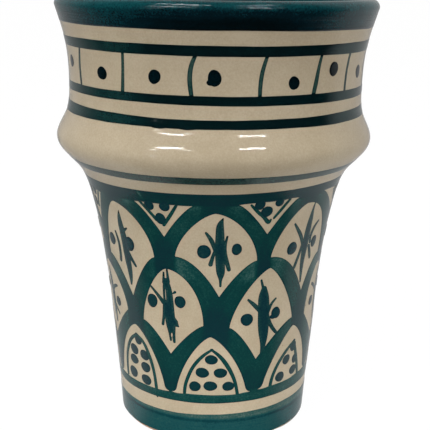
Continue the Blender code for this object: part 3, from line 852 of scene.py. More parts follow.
def ring_outline(ring, seed, waver=0.035):
    angles = np.linspace(-HALF_TURN, HALF_TURN, RING_POINTS)
    low = ring_edge(angles, ring.low, ring.low_tilt, 0.0, waver, seed)
    high = ring_edge(angles, ring.high, ring.high_tilt, ring.high_bow, waver, seed + 50)
    return np.vstack([np.column_stack([angles, low]), np.column_stack([angles, high])[::-1]])


def upper_side(corner, top, power, steps=30):
    """Window edge from a lower corner up to the crown."""
    turns = np.linspace(0, pi / 2, steps)
    away, up = np.cos(turns) ** (2 / power), np.sin(turns) ** (2 / power)
    return np.column_stack([top[0] + (corner[0] - top[0]) * away, corner[1] + (top[1] - corner[1]) * up])


def lower_side(corner, tip, power, steps=20):
    """Window edge from a corner down to its lowest point."""
    share = np.linspace(0, 1, steps)
    drop = (corner[1] - tip[1]) * share**power
    return np.column_stack([corner[0] + (tip[0] - corner[0]) * share, corner[1] - drop])


def lower_line_top(angle):
    side = np.sin(np.radians(angle))
    return LOWER_LINE_TOP + LOWER_LINE_TILT * side + LOWER_LINE_BOW * side**2


def on_lower_line(point):
    return point[0], lower_line_top(point[0])


def window_outline(window):
    """Anticlockwise outline of one cream window."""
    if window.tip is None:
        window = window._replace(left=on_lower_line(window.left), right=on_lower_line(window.right))
    right_top = upper_side(window.right, window.top, window.upper[1])
    left_top = upper_side(window.left, window.top, window.upper[0])[::-1]
    if window.tip is None:
        crown = np.vstack([right_top, left_top[1:]])
        base = np.interp(crown[:, 0], *zip(window.left, window.right))
        low = np.clip(1 - (crown[:, 1] - base) / STEM_END_HEIGHT, 0.0, 1.0)
        crown[:, 0] += np.sign(crown[:, 0] - window.top[0]) * STEM_END_FLARE * (1 - np.sqrt(1 - low**2))
        return crown
    left_low = lower_side(window.left, window.tip, window.lower[0])
    right_low = lower_side(window.right, window.tip, window.lower[1])[::-1]
    return np.vstack([left_low, right_low[1:], right_top[1:], left_top[1:-1]])


def notch_outline(left, right, tip):
    left_low = lower_side(left, tip, NOTCH_POWER)
    right_low = lower_side(right, tip, NOTCH_POWER)[::-1]
    return np.vstack([left_low, right_low[1:]])


def signed_area(outline):
    x, y = outline[:, 0], outline[:, 1]
    return 0.5 * np.sum(x * np.roll(y, -1) - np.roll(x, -1) * y)


def inside(outline, places):
    """Which places lie inside an outline."""
    hit = np.zeros(len(places), bool)
    x, y = places[:, 0], places[:, 1]
    for (ax, ay), (bx, by) in zip(outline, np.roll(outline, -1, axis=0)):
        if ay != by:
            crosses = (ay > y) != (by > y)
            hit ^= crosses & (x < ax + (bx - ax) * (y - ay) / (by - ay))
    return hit


def filling(outlines, holes, step):
    """Evenly spread points inside the outlines and outside the holes, clear of both edges."""
    edge_points = np.vstack(outlines + holes)
    edges = kdtree.KDTree(len(edge_points))
    for i, (x, y) in enumerate(edge_points):
        edges.insert((x, y, 0.0), i)
    edges.balance()
    low, high = edge_points.min(0), edge_points.max(0)
    rows = np.arange(low[1], high[1], step * 0.866)
    columns = np.arange(low[0], high[0], step)
    grid = np.vstack([
        np.column_stack([columns + step / 2 * (i % 2), np.full(len(columns), y)])
        for i, y in enumerate(rows)
    ])
    kept = np.zeros(len(grid), bool)
    for outline in outlines:
        kept |= inside(outline, grid)
    for hole in holes:
        kept &= ~inside(hole, grid)
    return [p for p in grid[kept] if edges.find((p[0], p[1], 0.0))[2] > 0.55 * step]


def flat_film(strokes, holes, reference, step, full_turn):
    """Triangulates strokes run together: points, triangles and how many strokes lie on each."""
    scale = np.array([radians(1) * reference, 1.0])
    period = FULL_TURN * scale[0]
    outlines = [np.asarray(s) * scale for s in strokes]
    cut = [np.asarray(h) * scale for h in holes]
    if full_turn:
        at_back = [h for h in cut if abs(h[:, 0]).max() > 0.4 * period]
        cut += [h + (way * period, 0) for h in at_back for way in (-1, 1)]
    outlines = [o if signed_area(o) > 0 else o[::-1] for o in outlines]
    cut = [h if signed_area(h) > 0 else h[::-1] for h in cut]
    points, faces = [], []
    for outline in outlines + cut:
        faces.append(list(range(len(points), len(points) + len(outline))))
        points += [Vector(p) for p in outline]
    inner = filling(outlines, cut, step)
    seams = []
    if full_turn:
        inner = [p for p in inner if abs(p[0]) < period / 2 - 0.3 * step]
        levels = np.vstack(outlines)[:, 1]
        heights = np.arange(levels.min() - 1, levels.max() + 1, step)
        for x in (-period / 2, period / 2):
            first = len(points)
            points += [Vector((x, y)) for y in heights]
            seams += [(first + i, first + i + 1) for i in range(len(heights) - 1)]
    points += [Vector(p) for p in inner]
    flat, _, triangles, _, _, sources = delaunay_2d_cdt(points, seams, faces, 0, 1e-6)
    flat = np.array([tuple(p) for p in flat])
    kept, depth = [], []
    for triangle, source in zip(triangles, sources):
        middle = sum(flat[i][0] for i in triangle) / 3
        if source and max(source) < len(outlines) and (not full_turn or abs(middle) < period / 2):
            kept.append(triangle)
            depth.append(len(source))
    return flat / scale, kept, depth


def weld_seam(flat, triangles):
    """Gives the points on both sides of the back seam the same number."""
    left = {round(z, 3): i for i, (a, z) in enumerate(flat) if abs(a + HALF_TURN) < SEAM_REACH}
    right = {i: round(z, 3) for i, (a, z) in enumerate(flat) if abs(a - HALF_TURN) < SEAM_REACH}
    same = {i: left[z] for i, z in right.items() if z in left}
    return [tuple(same.get(i, i) for i in triangle) for triangle in triangles]


def edge_distance(places, rim, reference):
    """Distance of each place from the nearest point of the rim, in millimetres."""
    scale = radians(1) * reference
    tree = kdtree.KDTree(3 * len(rim))
    for i, (angle, z) in enumerate(rim):
        for way in (-1, 0, 1):
            tree.insert(((angle + way * FULL_TURN) * scale, z, 0.0), i)
    tree.balance()
    return np.array([tree.find((angle * scale, z, 0.0))[2] for angle, z in places])


def even_load(amount):
    """Load of a film that lies equally thick everywhere."""
    return lambda angles, heights, edge, layers: np.full_like(heights, amount)


def film(
    name, strokes, material, load, holes=(), reference=NET_RADIUS, step=BROAD_STEP, full_turn=False,
    top=FILM,
):
    """A closed, slightly domed skin of paint over all strokes. Load says how thick it lies."""
    flat, triangles, depth = flat_film(strokes, list(holes), reference, step, full_turn)
    if full_turn:
        triangles = weld_seam(flat, triangles)
    directed = {(t[i], t[(i + 1) % 3]) for t in triangles for i in range(3)}
    rim_edges = {(a, b) for a, b in directed if (b, a) not in directed}
    rim = {i for pair in rim_edges for i in pair}
    used = sorted({i for t in triangles for i in t})
    place = {old: new for new, old in enumerate(used)}
    flat = flat[used]
    triangles = [tuple(place[i] for i in t) for t in triangles]
    rim = {place[i] for i in rim}
    middles = [(flat[place[a]] + flat[place[b]]) / 2 for a, b in rim_edges]
    edge = edge_distance(flat, [flat[i] for i in rim] + middles, reference)
    edge[list(rim)] = 0.0

    layers, shares = np.zeros(len(flat)), np.zeros(len(flat))
    for triangle, count in zip(triangles, depth):
        layers[list(triangle)] += count
        shares[list(triangle)] += 1
    layers /= shares
    thick = load(flat[:, 0], flat[:, 1], edge, layers)

    lift = FILM_EDGE + (top - FILM_EDGE) * np.sqrt(ease(edge / FILM_ROUND))
    upper = wall_points(flat[:, 0], flat[:, 1], lift)
    hidden = [i for i in range(len(flat)) if i not in rim]
    below = {i: len(flat) + n for n, i in enumerate(hidden)}
    bottom = wall_points(flat[hidden, 0], flat[hidden, 1], np.full(len(hidden), -FILM_SINK))
    faces = triangles + [tuple(below.get(i, i) for i in reversed(t)) for t in triangles]
    sharp = {tuple(sorted((place[a], place[b]))) for a, b in rim_edges}
    return mesh_piece(
        name,
        np.vstack([upper, bottom]),
        faces,
        material,
        sharp,
        edge=np.concatenate([edge, edge[hidden]]),
        load=np.concatenate([thick, thick[hidden]]),
    )


# The back of the cup repeats the front with the painter's small differences


def reshaped(window, change):
    """The window with each of its corners changed; one without a tip stays without."""
    corners = {name: getattr(window, name) for name in ("left", "top", "right", "tip")}
    return window._replace(**{name: change(place) for name, place in corners.items() if place})


def remade(sprig, change):
    """The sprig with each stroke, its dabs and its gaps changed."""
    strokes = tuple(change(stroke) for stroke in sprig.strokes)
    return Sprig(strokes, change(sprig.dabs), change(sprig.gaps))


def shifted_window(window, turn, jitter):
    """The window further round; one that stands on the lower line strays at its crown only."""
    def strayed(point):
        across = point[0] + turn + rng.uniform(-1, 1) * jitter
        return across, point[1] + rng.uniform(-1, 1) * jitter * RISE_SHARE

    if window.tip is None:
        left, right = [(angle + turn, height) for angle, height in (window.left, window.right)]
        return window._replace(left=left, top=strayed(window.top), right=right)
    return reshaped(window, strayed)


def shifted_sprig(sprig, turn, jitter):
    def strayed(items):
        aside, rise = rng.uniform(-1, 1) * jitter, rng.uniform(-1, 1) * jitter * RISE_SHARE
        return tuple((a + turn + aside, z + rise, *rest) for a, z, *rest in items)

    return remade(sprig, strayed)


def window_centre(window):
    return (window.left[0] + window.right[0]) / 2


def full_row(windows, sprigs, next_source):
    """Adds the unseen windows of a row, spaced evenly between the last and the first seen one."""
    first, last = window_centre(windows[0]), window_centre(windows[-1])
    missing = ARCHES_ROUND - len(windows)
    pitch = (FULL_TURN - (last - first)) / (missing + 1)
    all_windows, all_sprigs = list(windows), list(sprigs)
    for i in range(missing):
        source = (i + next_source) % len(windows)
        turn = last + pitch * (i + 1) - window_centre(windows[source])
        narrow = squeezed(windows[source], pitch)
        all_windows.append(wrapped(shifted_window(narrow, turn, WINDOW_JITTER)))
        all_sprigs.append(wrapped_sprig(shifted_sprig(sprigs[source], turn, WINDOW_JITTER)))
    return all_windows, all_sprigs


def squeezed(window, pitch):
    """Narrows a window whose own spacing is wider than the row has room for."""
    centre = window_centre(window)
    share = min(1.0, (pitch - LEAST_STEM) / (window.right[0] - window.left[0]))
    return reshaped(window, lambda point: (centre + (point[0] - centre) * share, point[1]))


def wrapped(window):
    back = turn_back(window_centre(window))
    return reshaped(window, lambda point: (point[0] - back, point[1]))


def wrapped_sprig(sprig):
    back = turn_back(sprig.strokes[0][0][0])
    return remade(sprig, lambda items: tuple((a - back, *rest) for a, *rest in items))


def full_notches(top_windows):
    """Notches between all neighbours of the top row, the seen ones as they are."""
    notches, sprigs = list(NOTCHES), list(NOTCH_SPRIGS)
    centres = sorted(window_centre(w) for w in top_windows)
    for a, b in zip(centres, centres[1:] + [centres[0] + FULL_TURN]):
        middle = (a + b) / 2
        middle -= turn_back(middle)
        if min(abs(middle - tip[0]) for _, _, tip in NOTCHES) > NOTCH_CLEARANCE:
            turn = middle - NOTCHES[1][2][0]
            notches.append(tuple((angle + turn, height) for angle, height in NOTCHES[1]))
            sprigs.append(shifted_sprig(NOTCH_SPRIGS[1], turn, NOTCH_JITTER))
    return notches, sprigs


def crossings(row, below):
    """Where the stems of a row meet the crowns below: angle, height, half width in degrees, crown."""
    windows = sorted(row, key=window_centre)
    found = []
    for one, other in zip(windows, windows[1:] + windows[:1]):
        a, b = one.right[0], other.left[0]
        b += FULL_TURN if b < a - QUARTER_TURN else 0.0
        middle = (a + b) / 2
        crown = min(below, key=lambda w: abs(angle_from(w.top[0], middle)))
        found.append((middle, (one.right[1] + other.left[1]) / 2, (b - a) / 2, crown.top[1]))
    return found


def meeting_load(angles, heights, radii, meeting, pale):
    """More paint down a stem to the crown that it meets, and less beside it where that crown starts."""
    angle, corner_z, half, crown_z = meeting
    above_corner, above_crown = heights - corner_z, heights - crown_z
    across = np.abs(np.radians(angle_from(angles, angle)) * radii)
    narrowing = 1 - 0.45 * ease(above_corner / 7.0)
    beyond = across - radians(half) * radii * narrowing + 0.1
    stem = 1 - ease(beyond / 1.6 + 0.5)
    fading = 1 - 0.75 * ease((above_corner - 1.0) / 6.5)
    near = (above_crown > -7.0) & (above_corner < 12.0)
    level = ease((above_crown + 4.5) / 3.0) * (1 - ease((above_corner + 1.0) / 2.5))
    start = (1 - stem) * level * bell(np.maximum(beyond, 0.0), 4.2)
    return STEM_MORE * stem * fading * near - pale * start


def crown_load(angles, heights, radii, top_row):
    """More paint in the band and on the top row's crowns, and less where a crown's stroke starts."""
    band_z = BAND_LOW + BAND_LOW_TILT * np.sin(np.radians(angles))
    in_band = ease((heights - band_z) / 0.3 + 0.5)
    below_band = bell(band_z - heights, 1.5) * (1 - in_band)
    thick = BAND_MORE * in_band
    for window in top_row:
        across = np.radians(angle_from(angles, window.top[0])) * radii
        thick -= CROWN_START_LESS * bell(np.abs(across) - 5.0, 2.6) * below_band
        thick += CROWN_MORE * bell(across, 3.4, 4) * bell(heights - CROWN_Z, 1.9)
    return thick


def net_load(top_row, middle_row, bottom_row):
    """How thick the paint of the net lies: thin where a stroke starts, thick where strokes cross."""
    meetings = [(m, UPPER_START_LESS) for m in crossings(top_row, middle_row)]
    meetings += [(m, LOWER_START_LESS) for m in crossings(middle_row, bottom_row)]

    def load(angles, heights, edge, layers):
        radii = outside_radius(heights)
        thick = NET_LOAD + crown_load(angles, heights, radii, top_row)
        for meeting, pale in meetings:
            thick += meeting_load(angles, heights, radii, meeting, pale)
        above_line = ease((heights - lower_line_top(angles)) / 0.6)
        stem_end = ease((STEM_END_Z - heights) / 7.0) * above_line
        thick += STEM_END_MORE * stem_end - LOWER_LINE_LESS * (1 - above_line)
        for angle, height, wide, tall, more in NET_PATCHES:
            across = np.radians(angle_from(angles, angle)) * radii
            thick += more * bell(across, wide) * bell(heights - height, tall)
        above_chip = heights - BAND_CHIP[1]
        across = np.radians(angle_from(angles, BAND_CHIP[0])) * radii + 0.35 * above_chip
        return thick - CHIP_LESS * bell(across, 0.42) * bell(above_chip, 0.9)

    return load


# Materials

# Hair lines run beside a stroke's edge: how close they lie, and how they drift along the stroke
HAIRS = (2.6, 0.0, 0.0)
HAIR_DRIFT = (45.0, 45.0, 45.0)


def new_node(tree, kind, inputs=None, **settings):
    node = tree.nodes.new(kind)
    for key, value in settings.items():
        setattr(node, key, value)
    for key, value in (inputs or {}).items():
        if isinstance(value, bpy.types.NodeSocket):
            tree.links.new(value, node.inputs[key])
        else:
            node.inputs[key].default_value = value
    return node


def new_material(name, roughness, ior):
    material = bpy.data.materials.new(name)
    material.use_nodes = True
    shader = material.node_tree.nodes["Principled BSDF"]
    shader.inputs["Roughness"].default_value = roughness
    shader.inputs["IOR"].default_value = ior
    return material, material.node_tree, shader


def maths(tree, operation, first, second):
    return new_node(tree, "ShaderNodeMath", {0: first, 1: second}, operation=operation).outputs[0]


def weighted(tree, total, *parts):
    """Adds parts to a total, each times its share."""
    for part, share in parts:
        total = maths(tree, "ADD", total, maths(tree, "MULTIPLY", part, share))
    return total


def ramp(tree, factor, stops):
    node = new_node(tree, "ShaderNodeValToRGB", {"Fac": factor})
    points = node.color_ramp.elements
    while len(points) < len(stops):
        points.new(1.0)
    for point, (position, colour) in zip(points, stops):
        point.position = position
        point.color = (*colour, 1.0)
    return node.outputs["Color"]


def noise(tree, place, scale, detail, roughness):
    values = {"Vector": place, "Scale": scale, "Detail": detail, "Roughness": roughness}
    return new_node(tree, "ShaderNodeTexNoise", values).outputs["Fac"]


def object_place(tree):
    return new_node(tree, "ShaderNodeTexCoord").outputs["Object"]


def bump(tree, shader, height, strength, distance):
    values = {"Height": height, "Strength": strength, "Distance": distance}
    normal = new_node(tree, "ShaderNodeBump", values).outputs["Normal"]
    tree.links.new(normal, shader.inputs["Normal"])


def cream_material(name, roughness):
    """Tin-white glaze over pale clay: cloudy, with fine grain and a few iron specks."""
    material, tree, shader = new_material(name, roughness, GLAZE_IOR)
    place = object_place(tree)
    clouds = noise(tree, place, 70.0, 4.0, 0.6)
    grain = noise(tree, place, 2300.0, 2.0, 0.7)
    mixed = weighted(tree, 0.0, (clouds, 0.5), (grain, 0.5))
    tone = ramp(tree, mixed, ((0.39, CREAM_SHADE), (0.61, CREAM)))
    cells = new_node(tree, "ShaderNodeTexVoronoi", {"Vector": place, "Scale": 330.0})
    chance = new_node(tree, "ShaderNodeSeparateColor", {"Color": cells.outputs["Color"]}).outputs[0]
    rare = maths(tree, "GREATER_THAN", chance, 0.965)
    near = maths(tree, "LESS_THAN", cells.outputs["Distance"], 0.075)
    speck = maths(tree, "MULTIPLY", maths(tree, "MULTIPLY", rare, near), 0.7)
    sides = {"Factor": speck, "A": tone, "B": (*SPECK, 1.0)}
    colour = new_node(tree, "ShaderNodeMix", sides, data_type="RGBA")
    tree.links.new(colour.outputs["Result"], shader.inputs["Base Color"])
    bump(tree, shader, weighted(tree, clouds, (grain, 0.15)), 0.12, 0.0004)
    return material


def paint_material(name, paint, roughness=0.09, streak=0.5, pool=0.4, grain=1.0, relief=0.1):
    """Brushed colour: darker where it lies thick, along its edges and in the brush's hair lines."""
    material, tree, shader = new_material(name, roughness, GLAZE_IOR)
    place = object_place(tree)
    load = new_node(tree, "ShaderNodeAttribute", attribute_name="load").outputs["Fac"]
    edge = new_node(tree, "ShaderNodeAttribute", attribute_name="edge").outputs["Fac"]
    slow = new_node(tree, "ShaderNodeVectorMath", {0: place, 1: HAIR_DRIFT}, operation="MULTIPLY")
    along = {0: edge, 1: HAIRS, 2: slow.outputs["Vector"]}
    beside = new_node(tree, "ShaderNodeVectorMath", along, operation="MULTIPLY_ADD")
    hairs = maths(tree, "SUBTRACT", noise(tree, beside.outputs["Vector"], 1.0, 3.0, 0.6), 0.5)
    clouds = maths(tree, "SUBTRACT", noise(tree, place, 260.0, 3.0, 0.6), 0.5)
    speckle = maths(tree, "SUBTRACT", noise(tree, place, 2300.0, 2.0, 0.6), 0.5)
    pooling = {"Value": edge, "From Max": 0.4, "To Min": pool, "To Max": 0.0}
    rim = new_node(tree, "ShaderNodeMapRange", pooling).outputs["Result"]
    total = maths(tree, "ADD", weighted(tree, load, (hairs, streak), (clouds, 0.5), (speckle, grain)), rim)
    stops = [(thick / FULL_LOAD, colour) for thick, colour in zip(PAINT_LOADS, paint)]
    colour = ramp(tree, maths(tree, "DIVIDE", total, FULL_LOAD), stops)
    tree.links.new(colour, shader.inputs["Base Color"])
    bump(tree, shader, weighted(tree, hairs, (speckle, 0.4)), relief, 0.0003)
    return material


def clay_material():
    """Bare fired clay: dry, cloudy and full of grog."""
    material, tree, shader = new_material("bare_clay", 0.85, 1.4)
    place = object_place(tree)
    body = noise(tree, place, 160.0, 5.0, 0.65)
    grog = noise(tree, place, 1900.0, 2.0, 0.6)
    mixed = weighted(tree, 0.0, (body, 0.6), (grog, 0.4))
    tree.links.new(ramp(tree, mixed, ((0.3, CLAY_DARK), (0.65, CLAY))), shader.inputs["Base Color"])
    bump(tree, shader, grog, 0.35, 0.0003)
    return material


# The cup's pieces, from the clay out


def build_body():
    """Clay, the cream coats and the rim."""
    dress(clay_body(clay_material()), "biscuit_clay", "clay_body")
    dress(outer_glaze(cream_material("cream_outside", 0.05)), "cream_glaze", "outer_glaze")
    dress(inner_glaze(cream_material("cream_inside", 0.07)), "cream_glaze", "inner_glaze")
    rim_paint = paint_material("rim_teal", RIM_TEAL, roughness=0.06, pool=0.2, grain=1.1, relief=0.45)
    dress(rim_band(rim_paint), "green_glaze", "rim_band")


def neck_panels():
    """Uprights and spots of all neck panels, the unseen ones spaced evenly."""
    first, last = UPRIGHTS[0][0][0], UPRIGHTS[-1][0][0]
    missing = PANELS_ROUND - len(UPRIGHTS)
    pitch = (FULL_TURN - (last - first)) / (missing + 1)
    uprights, dots = list(UPRIGHTS), list(PANEL_DOTS)
    for i in range(missing):
        source = UPRIGHTS[i % len(UPRIGHTS)]
        turn = last + pitch * (i + 1) - source[0][0] + rng.uniform(-UPRIGHT_JITTER, UPRIGHT_JITTER)
        turn -= turn_back(source[0][0] + turn)
        uprights.append(tuple((a + turn, z, w) for a, z, w in source))
    height, wide, tall = UNSEEN_SPOT
    for i in range(PANELS_ROUND - len(PANEL_DOTS)):
        angle = last + pitch * (i + 1.5) + rng.uniform(-SPOT_JITTER, SPOT_JITTER)
        angle -= turn_back(angle)
        dots.append((angle, height + rng.uniform(-SPOT_RISE, SPOT_RISE), wide, tall))
    return uprights, dots


def stripe_load(angles, heights, edge, layers):
    """The stripes are darker in front than at the sides, and where strokes cross."""
    left_fade, right_fade = STRIPE_FRONT_FADES
    front = ease((angles + STRIPE_FRONT) / left_fade) * (1 - ease((angles - STRIPE_FRONT) / right_fade))
    return STRIPE_LOAD + STRIPE_CROSSING_MORE * (layers - 1) + STRIPE_FRONT_MORE * front


def ladder_load(angles, heights, edge, layers):
    """Uprights are thin between the stripes."""
    between = (heights > LOWER_STRIPE.high + 0.1) & (heights < UPPER_STRIPE.low - 0.1)
    return np.where(between, gathered(heights, *UPRIGHT_LOAD), stripe_load(angles, heights, edge, layers))


def collar_load(angles, heights, edge, layers):
    return stripe_load(angles, heights, edge, 1)


def foot_load(angles, heights, edge, layers):
    strip = ease((heights - FOOT_STRIP_Z) / 0.7)
    return FOOT_LOAD - FOOT_STRIP_LESS * strip + FOOT_LINE_MORE * bell(heights - FOOT_LINE_Z, 0.3)


def line_load(angles, heights, edge, layers):
    return 0.8 + 0.2 * (layers - 1)


def leaf_load(angles, heights, edge, layers):
    """Leaves are darker away from their edges."""
    return 0.64 + 0.4 * ease((edge - 0.3) / 0.7) + 0.06 * (layers - 1)


def build_rings():
    """Stripes, uprights and spots of the neck, the waist's line and the foot's band."""
    stripe = paint_material("stripe_green", STRIPE_GREEN, roughness=0.08, pool=0.25, grain=0.6)
    uprights, dots = neck_panels()
    ladder = [ring_outline(LOWER_STRIPE, seed=3), ring_outline(UPPER_STRIPE, seed=4)]
    ladder += [brush(line) for line in uprights]
    lines = film("neck_lines", ladder, stripe, ladder_load, reference=NECK_RADIUS, full_turn=True)
    dress(lines, "dark_green_glaze", "neck_ladder")
    neck_spot = paint_material("neck_spot", RIM_TEAL, streak=0.3, pool=0.2)
    spots = [dab(*dot) for dot in dots + [DOT_TAIL]]
    panel_dots = film(
        "panel_spots", spots, neck_spot, even_load(1.3), reference=NECK_RADIUS, step=FINE_STEP
    )
    dress(panel_dots, "blue_black_glaze", *[f"panel_dot_{i + 1:02d}" for i in range(PANELS_ROUND)])
    collar_strokes = [ring_outline(COLLAR_STRIPE, seed=5, waver=0.05)]
    collar_strokes += [brush(hair) for hair in COLLAR_HAIRS]
    collar = film(
        "collar_line", collar_strokes, stripe, collar_load, reference=NECK_RADIUS, full_turn=True
    )
    dress(collar, "dark_green_glaze", "collar_stripe")

    waist_paint = paint_material("waist_green", STRIPE_GREEN, streak=0.6, pool=0.2)
    waist_stroke = [ring_outline(WAIST_LINE, seed=6, waver=0.04)]
    waist = film(
        "waist_ring", waist_stroke, waist_paint, even_load(0.57), reference=WAIST_RADIUS, full_turn=True
    )
    dress(waist, "dark_green_glaze", "waist_line")
    foot_paint = paint_material("foot_green", FOOT_GREEN, pool=0.2)
    foot_stroke = [ring_outline(FOOT_BAND, seed=7, waver=0.05)]
    foot = film("foot_coat", foot_stroke, foot_paint, foot_load, reference=FOOT_RADIUS, full_turn=True)
    dress(foot, "green_glaze", "foot_band")


def build_pattern():
    """The net and what is painted in its windows and notches."""
    top_row, top_sprigs = full_row(TOP_ROW, TOP_SPRIGS, 0)
    middle_row, middle_sprigs = full_row(MIDDLE_ROW, MIDDLE_SPRIGS, 1)
    bottom_row, bottom_sprigs = full_row(BOTTOM_ROW, BOTTOM_SPRIGS, 1)
    notches, notch_sprigs = full_notches(top_row)
    holes = [window_outline(w) for w in top_row + middle_row + bottom_row]
    holes += [notch_outline(*n) for n in notches]
    net_paint = paint_material("net_green", NET_GREEN, pool=0.45)
    load = net_load(top_row, middle_row, bottom_row)
    net_stroke = [ring_outline(NET, seed=8, waver=0.03)]
    net = film("net_coat", net_stroke, net_paint, load, holes, full_turn=True)
    dress(net, "green_glaze", "scale_lattice")

    line_paint = paint_material("line_green", NET_GREEN, pool=0.3)
    lines = [brush(s) for sprig in bottom_sprigs + notch_sprigs for s in sprig.strokes]
    dress(film("arch_lines", lines, line_paint, line_load, step=FINE_STEP), "green_glaze")
    leaf_paint = paint_material("leaf_green", SPOT_BLUE, streak=0.6, pool=0.3)
    leaves = [brush(s) for sprig in top_sprigs + middle_sprigs for s in sprig.strokes]
    gaps = [dab(*g) for sprig in middle_sprigs for g in sprig.gaps]
    sprigs = film("leaf_sprigs", leaves, leaf_paint, leaf_load, gaps, step=FINE_STEP)
    dress(sprigs, "blue_black_glaze", *[f"leaf_sprig_{i + 1:02d}" for i in range(2 * ARCHES_ROUND)])
    dot_paint = paint_material("spot_blue", SPOT_BLUE, pool=0.5)
    dabs = [dab(*d) for sprig in top_sprigs + middle_sprigs + notch_sprigs for d in sprig.dabs]
    dots = film("window_dots", dabs, dot_paint, even_load(1.0), step=FINE_STEP, top=DOT_FILM)
    dress(dots, "blue_black_glaze")
    seed_paint = paint_material("seed_green", NET_GREEN)
    seeds = [dab(*d) for sprig in bottom_sprigs for d in sprig.dabs]
    dress(film("seed_dots", seeds, seed_paint, even_load(1.35), step=FINE_STEP), "blue_black_glaze")


# Studio and camera


def lamp(name, place, level):
    """Soft square lamp on the cup. Level is how bright it makes a white surface that faces it."""
    light = bpy.data.lights.new(name, "AREA")
    light.size = LAMP_SIZE
    way = Vector(LAMP_TARGET) - Vector(place)
    light.energy = level * (pi * way.length) ** 2
    hang(light, place, way)


def foot_lamp(name, place):
    """Lamp with a narrow, soft-edged cone on the foot."""
    light = bpy.data.lights.new(name, "SPOT")
    light.spot_size = radians(FOOT_LAMP_SPREAD)
    light.spot_blend = 1.0
    light.shadow_soft_size = FOOT_LAMP_SOFTNESS
    way = Vector(FOOT_TARGET) - Vector(place)
    light.energy = FOOT_LAMP_LEVEL * (2 * pi * way.length) ** 2
    hang(light, place, way)


def glint(name, bearing, height, wide, tilt, level):
    """Far, thin strip that the glaze mirrors as a bright line. Its angles are seen from the bulge."""
    light = bpy.data.lights.new(name, "AREA")
    light.shape = "RECTANGLE"
    light.size = 2 * GLINT_REACH * tan(radians(wide / 2))
    light.size_y = 2 * GLINT_REACH * tan(radians(GLINT_THICK / 2))
    light.energy = level * pi * light.size * light.size_y
    turn, rise = radians(bearing), radians(height)
    way = Vector((sin(turn) * cos(rise), -cos(turn) * cos(rise), sin(rise)))
    holder = hang(light, Vector(BULGE_PLACE) + GLINT_REACH * way, -way)
    tilted = holder.rotation_euler.to_matrix() @ Matrix.Rotation(radians(tilt), 3, "Z")
    holder.rotation_euler = tilted.to_euler()
    holder.visible_glossy = True
    holder.visible_diffuse = False


def hang(light, place, way):
    """Hangs a lamp that lights the cup but isn't mirrored in it."""
    holder = bpy.data.objects.new(light.name, light)
    holder.location = place
    holder.rotation_euler = way.to_track_quat("-Z", "Y").to_euler()
    holder.visible_camera = False
    holder.visible_glossy = False
    bpy.context.scene.collection.objects.link(holder)
    return holder


def mirrored_room(tree, across, depth, least):
    """What the glaze mirrors: dark in front, and pale from beside the cup on, sharper on the right."""
    start = weighted(tree, -0.025, (across, -0.025))
    full = weighted(tree, 0.525, (across, -0.225))
    limits = {"Value": depth, "From Min": start, "From Max": full}
    opening = new_node(tree, "ShaderNodeMapRange", limits, interpolation_type="SMOOTHSTEP")
    return weighted(tree, least, (opening.outputs["Result"], weighted(tree, 0.41, (across, 0.04))))


def studio_room():
    """White to the camera, and soft light that comes mostly from behind."""
    world = bpy.data.worlds.new("studio")
    bpy.context.scene.world = world
    world.use_nodes = True
    tree = world.node_tree
    way = new_node(tree, "ShaderNodeTexCoord").outputs["Generated"]
    split = new_node(tree, "ShaderNodeSeparateXYZ", {"Vector": way}).outputs
    rays = new_node(tree, "ShaderNodeLightPath").outputs
    limits = {"Value": split["Y"], "From Min": -0.1, "From Max": 1.0, "To Min": 0.15, "To Max": 0.8}
    room = new_node(tree, "ShaderNodeMapRange", limits).outputs["Result"]
    mirrored = mirrored_room(tree, split["X"], split["Y"], 0.005)
    sides = {"Factor": rays["Is Glossy Ray"], "A": room, "B": mirrored}
    level = new_node(tree, "ShaderNodeMix", sides).outputs["Result"]
    seen = maths(tree, "MAXIMUM", rays["Is Camera Ray"], rays["Is Transmission Ray"])
    shade = tree.nodes["Background"].inputs
    tree.links.new(maths(tree, "MAXIMUM", level, seen), shade["Strength"])
    shade["Color"].default_value = (1.0, 1.0, 1.0, 1.0)


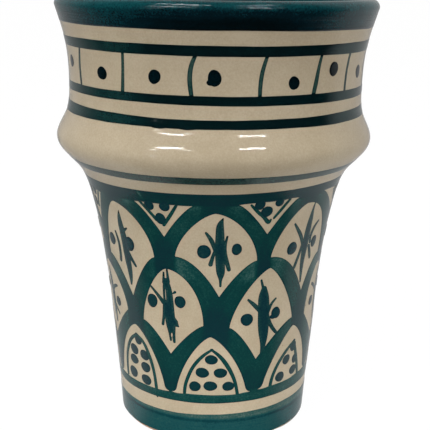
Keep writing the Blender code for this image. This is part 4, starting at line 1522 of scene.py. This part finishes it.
def floor_material():
    """White to the camera, grey to the lamps, and mirrored like the room but paler close to the cup."""
    material, tree, shader = new_material("studio_floor", 0.9, GLAZE_IOR)
    shader.inputs["Base Color"].default_value = (0.5, 0.5, 0.5, 1.0)
    shader.inputs["Specular IOR Level"].default_value = 0.0
    rays = new_node(tree, "ShaderNodeLightPath").outputs
    place = new_node(tree, "ShaderNodeNewGeometry").outputs["Position"]
    way = new_node(tree, "ShaderNodeVectorMath", {0: place}, operation="NORMALIZE").outputs["Vector"]
    away = new_node(tree, "ShaderNodeVectorMath", {0: place}, operation="LENGTH").outputs["Value"]
    split = new_node(tree, "ShaderNodeSeparateXYZ", {"Vector": way}).outputs
    close = maths(tree, "EXPONENT", maths(tree, "DIVIDE", away, -0.13), 0.0)
    depth = weighted(tree, split["Y"], (close, 0.95))
    evenly = maths(tree, "ABSOLUTE", split["X"], 0.0)
    sides = {"Factor": maths(tree, "MULTIPLY", close, 1.5), "A": split["X"], "B": evenly}
    across = new_node(tree, "ShaderNodeMix", sides).outputs["Result"]
    room = mirrored_room(tree, across, depth, maths(tree, "MULTIPLY", close, 0.05))
    sides = {"Factor": rays["Is Glossy Ray"], "A": 1.04, "B": room}
    strength = new_node(tree, "ShaderNodeMix", sides).outputs["Result"]
    seen = maths(tree, "MAXIMUM", rays["Is Camera Ray"], rays["Is Transmission Ray"])
    seen = maths(tree, "MAXIMUM", maths(tree, "MULTIPLY", seen, 0.95), rays["Is Glossy Ray"])
    glow = new_node(tree, "ShaderNodeEmission", {"Strength": strength}).outputs["Emission"]
    mixed = new_node(tree, "ShaderNodeMixShader", {"Fac": seen, 1: shader.outputs["BSDF"], 2: glow})
    tree.links.new(mixed.outputs["Shader"], tree.nodes["Material Output"].inputs["Surface"])
    return material


def studio():
    bpy.context.scene.view_settings.view_transform = "Standard"
    studio_room()
    turns = [2 * pi * i / STUDIO_CORNERS for i in range(STUDIO_CORNERS)]
    corners = np.array([(STUDIO_REACH * cos(t), STUDIO_REACH * sin(t), 0.0) for t in turns])
    floor = mesh_piece("studio_floor", corners, [tuple(range(STUDIO_CORNERS))], floor_material())

    lamp("top_left", (-0.45, -0.5, 0.6), 0.47)
    lamp("side_left", (-0.6, -0.25, 0.12), 0.12)
    lamp("side_right", (0.6, -0.25, 0.12), 0.33)
    lamp("overhead", (0.0, -0.3, 0.9), 0.31)
    foot_lamp("foot_left", (-0.5, -0.5, 0.2))
    foot_lamp("foot_right", (0.5, -0.5, 0.2))
    for number, strip in enumerate(GLINTS):
        glint(f"strip_{number + 1}", *strip)


def camera():
    lens = bpy.data.cameras.new("camera")
    lens.sensor_width = SENSOR
    lens.lens = FOCAL_LENGTH
    lens.shift_x, lens.shift_y = CAMERA_SHIFT
    holder = bpy.data.objects.new("camera", lens)
    tilt = Matrix.Rotation(pi / 2 - CAMERA_PITCH, 4, "X") @ Matrix.Rotation(CAMERA_ROLL, 4, "Z")
    holder.matrix_world = Matrix.Translation(CAMERA_PLACE) @ tilt
    bpy.context.scene.collection.objects.link(holder)
    bpy.context.scene.camera = holder


build_body()
build_rings()
build_pattern()
studio()
camera()
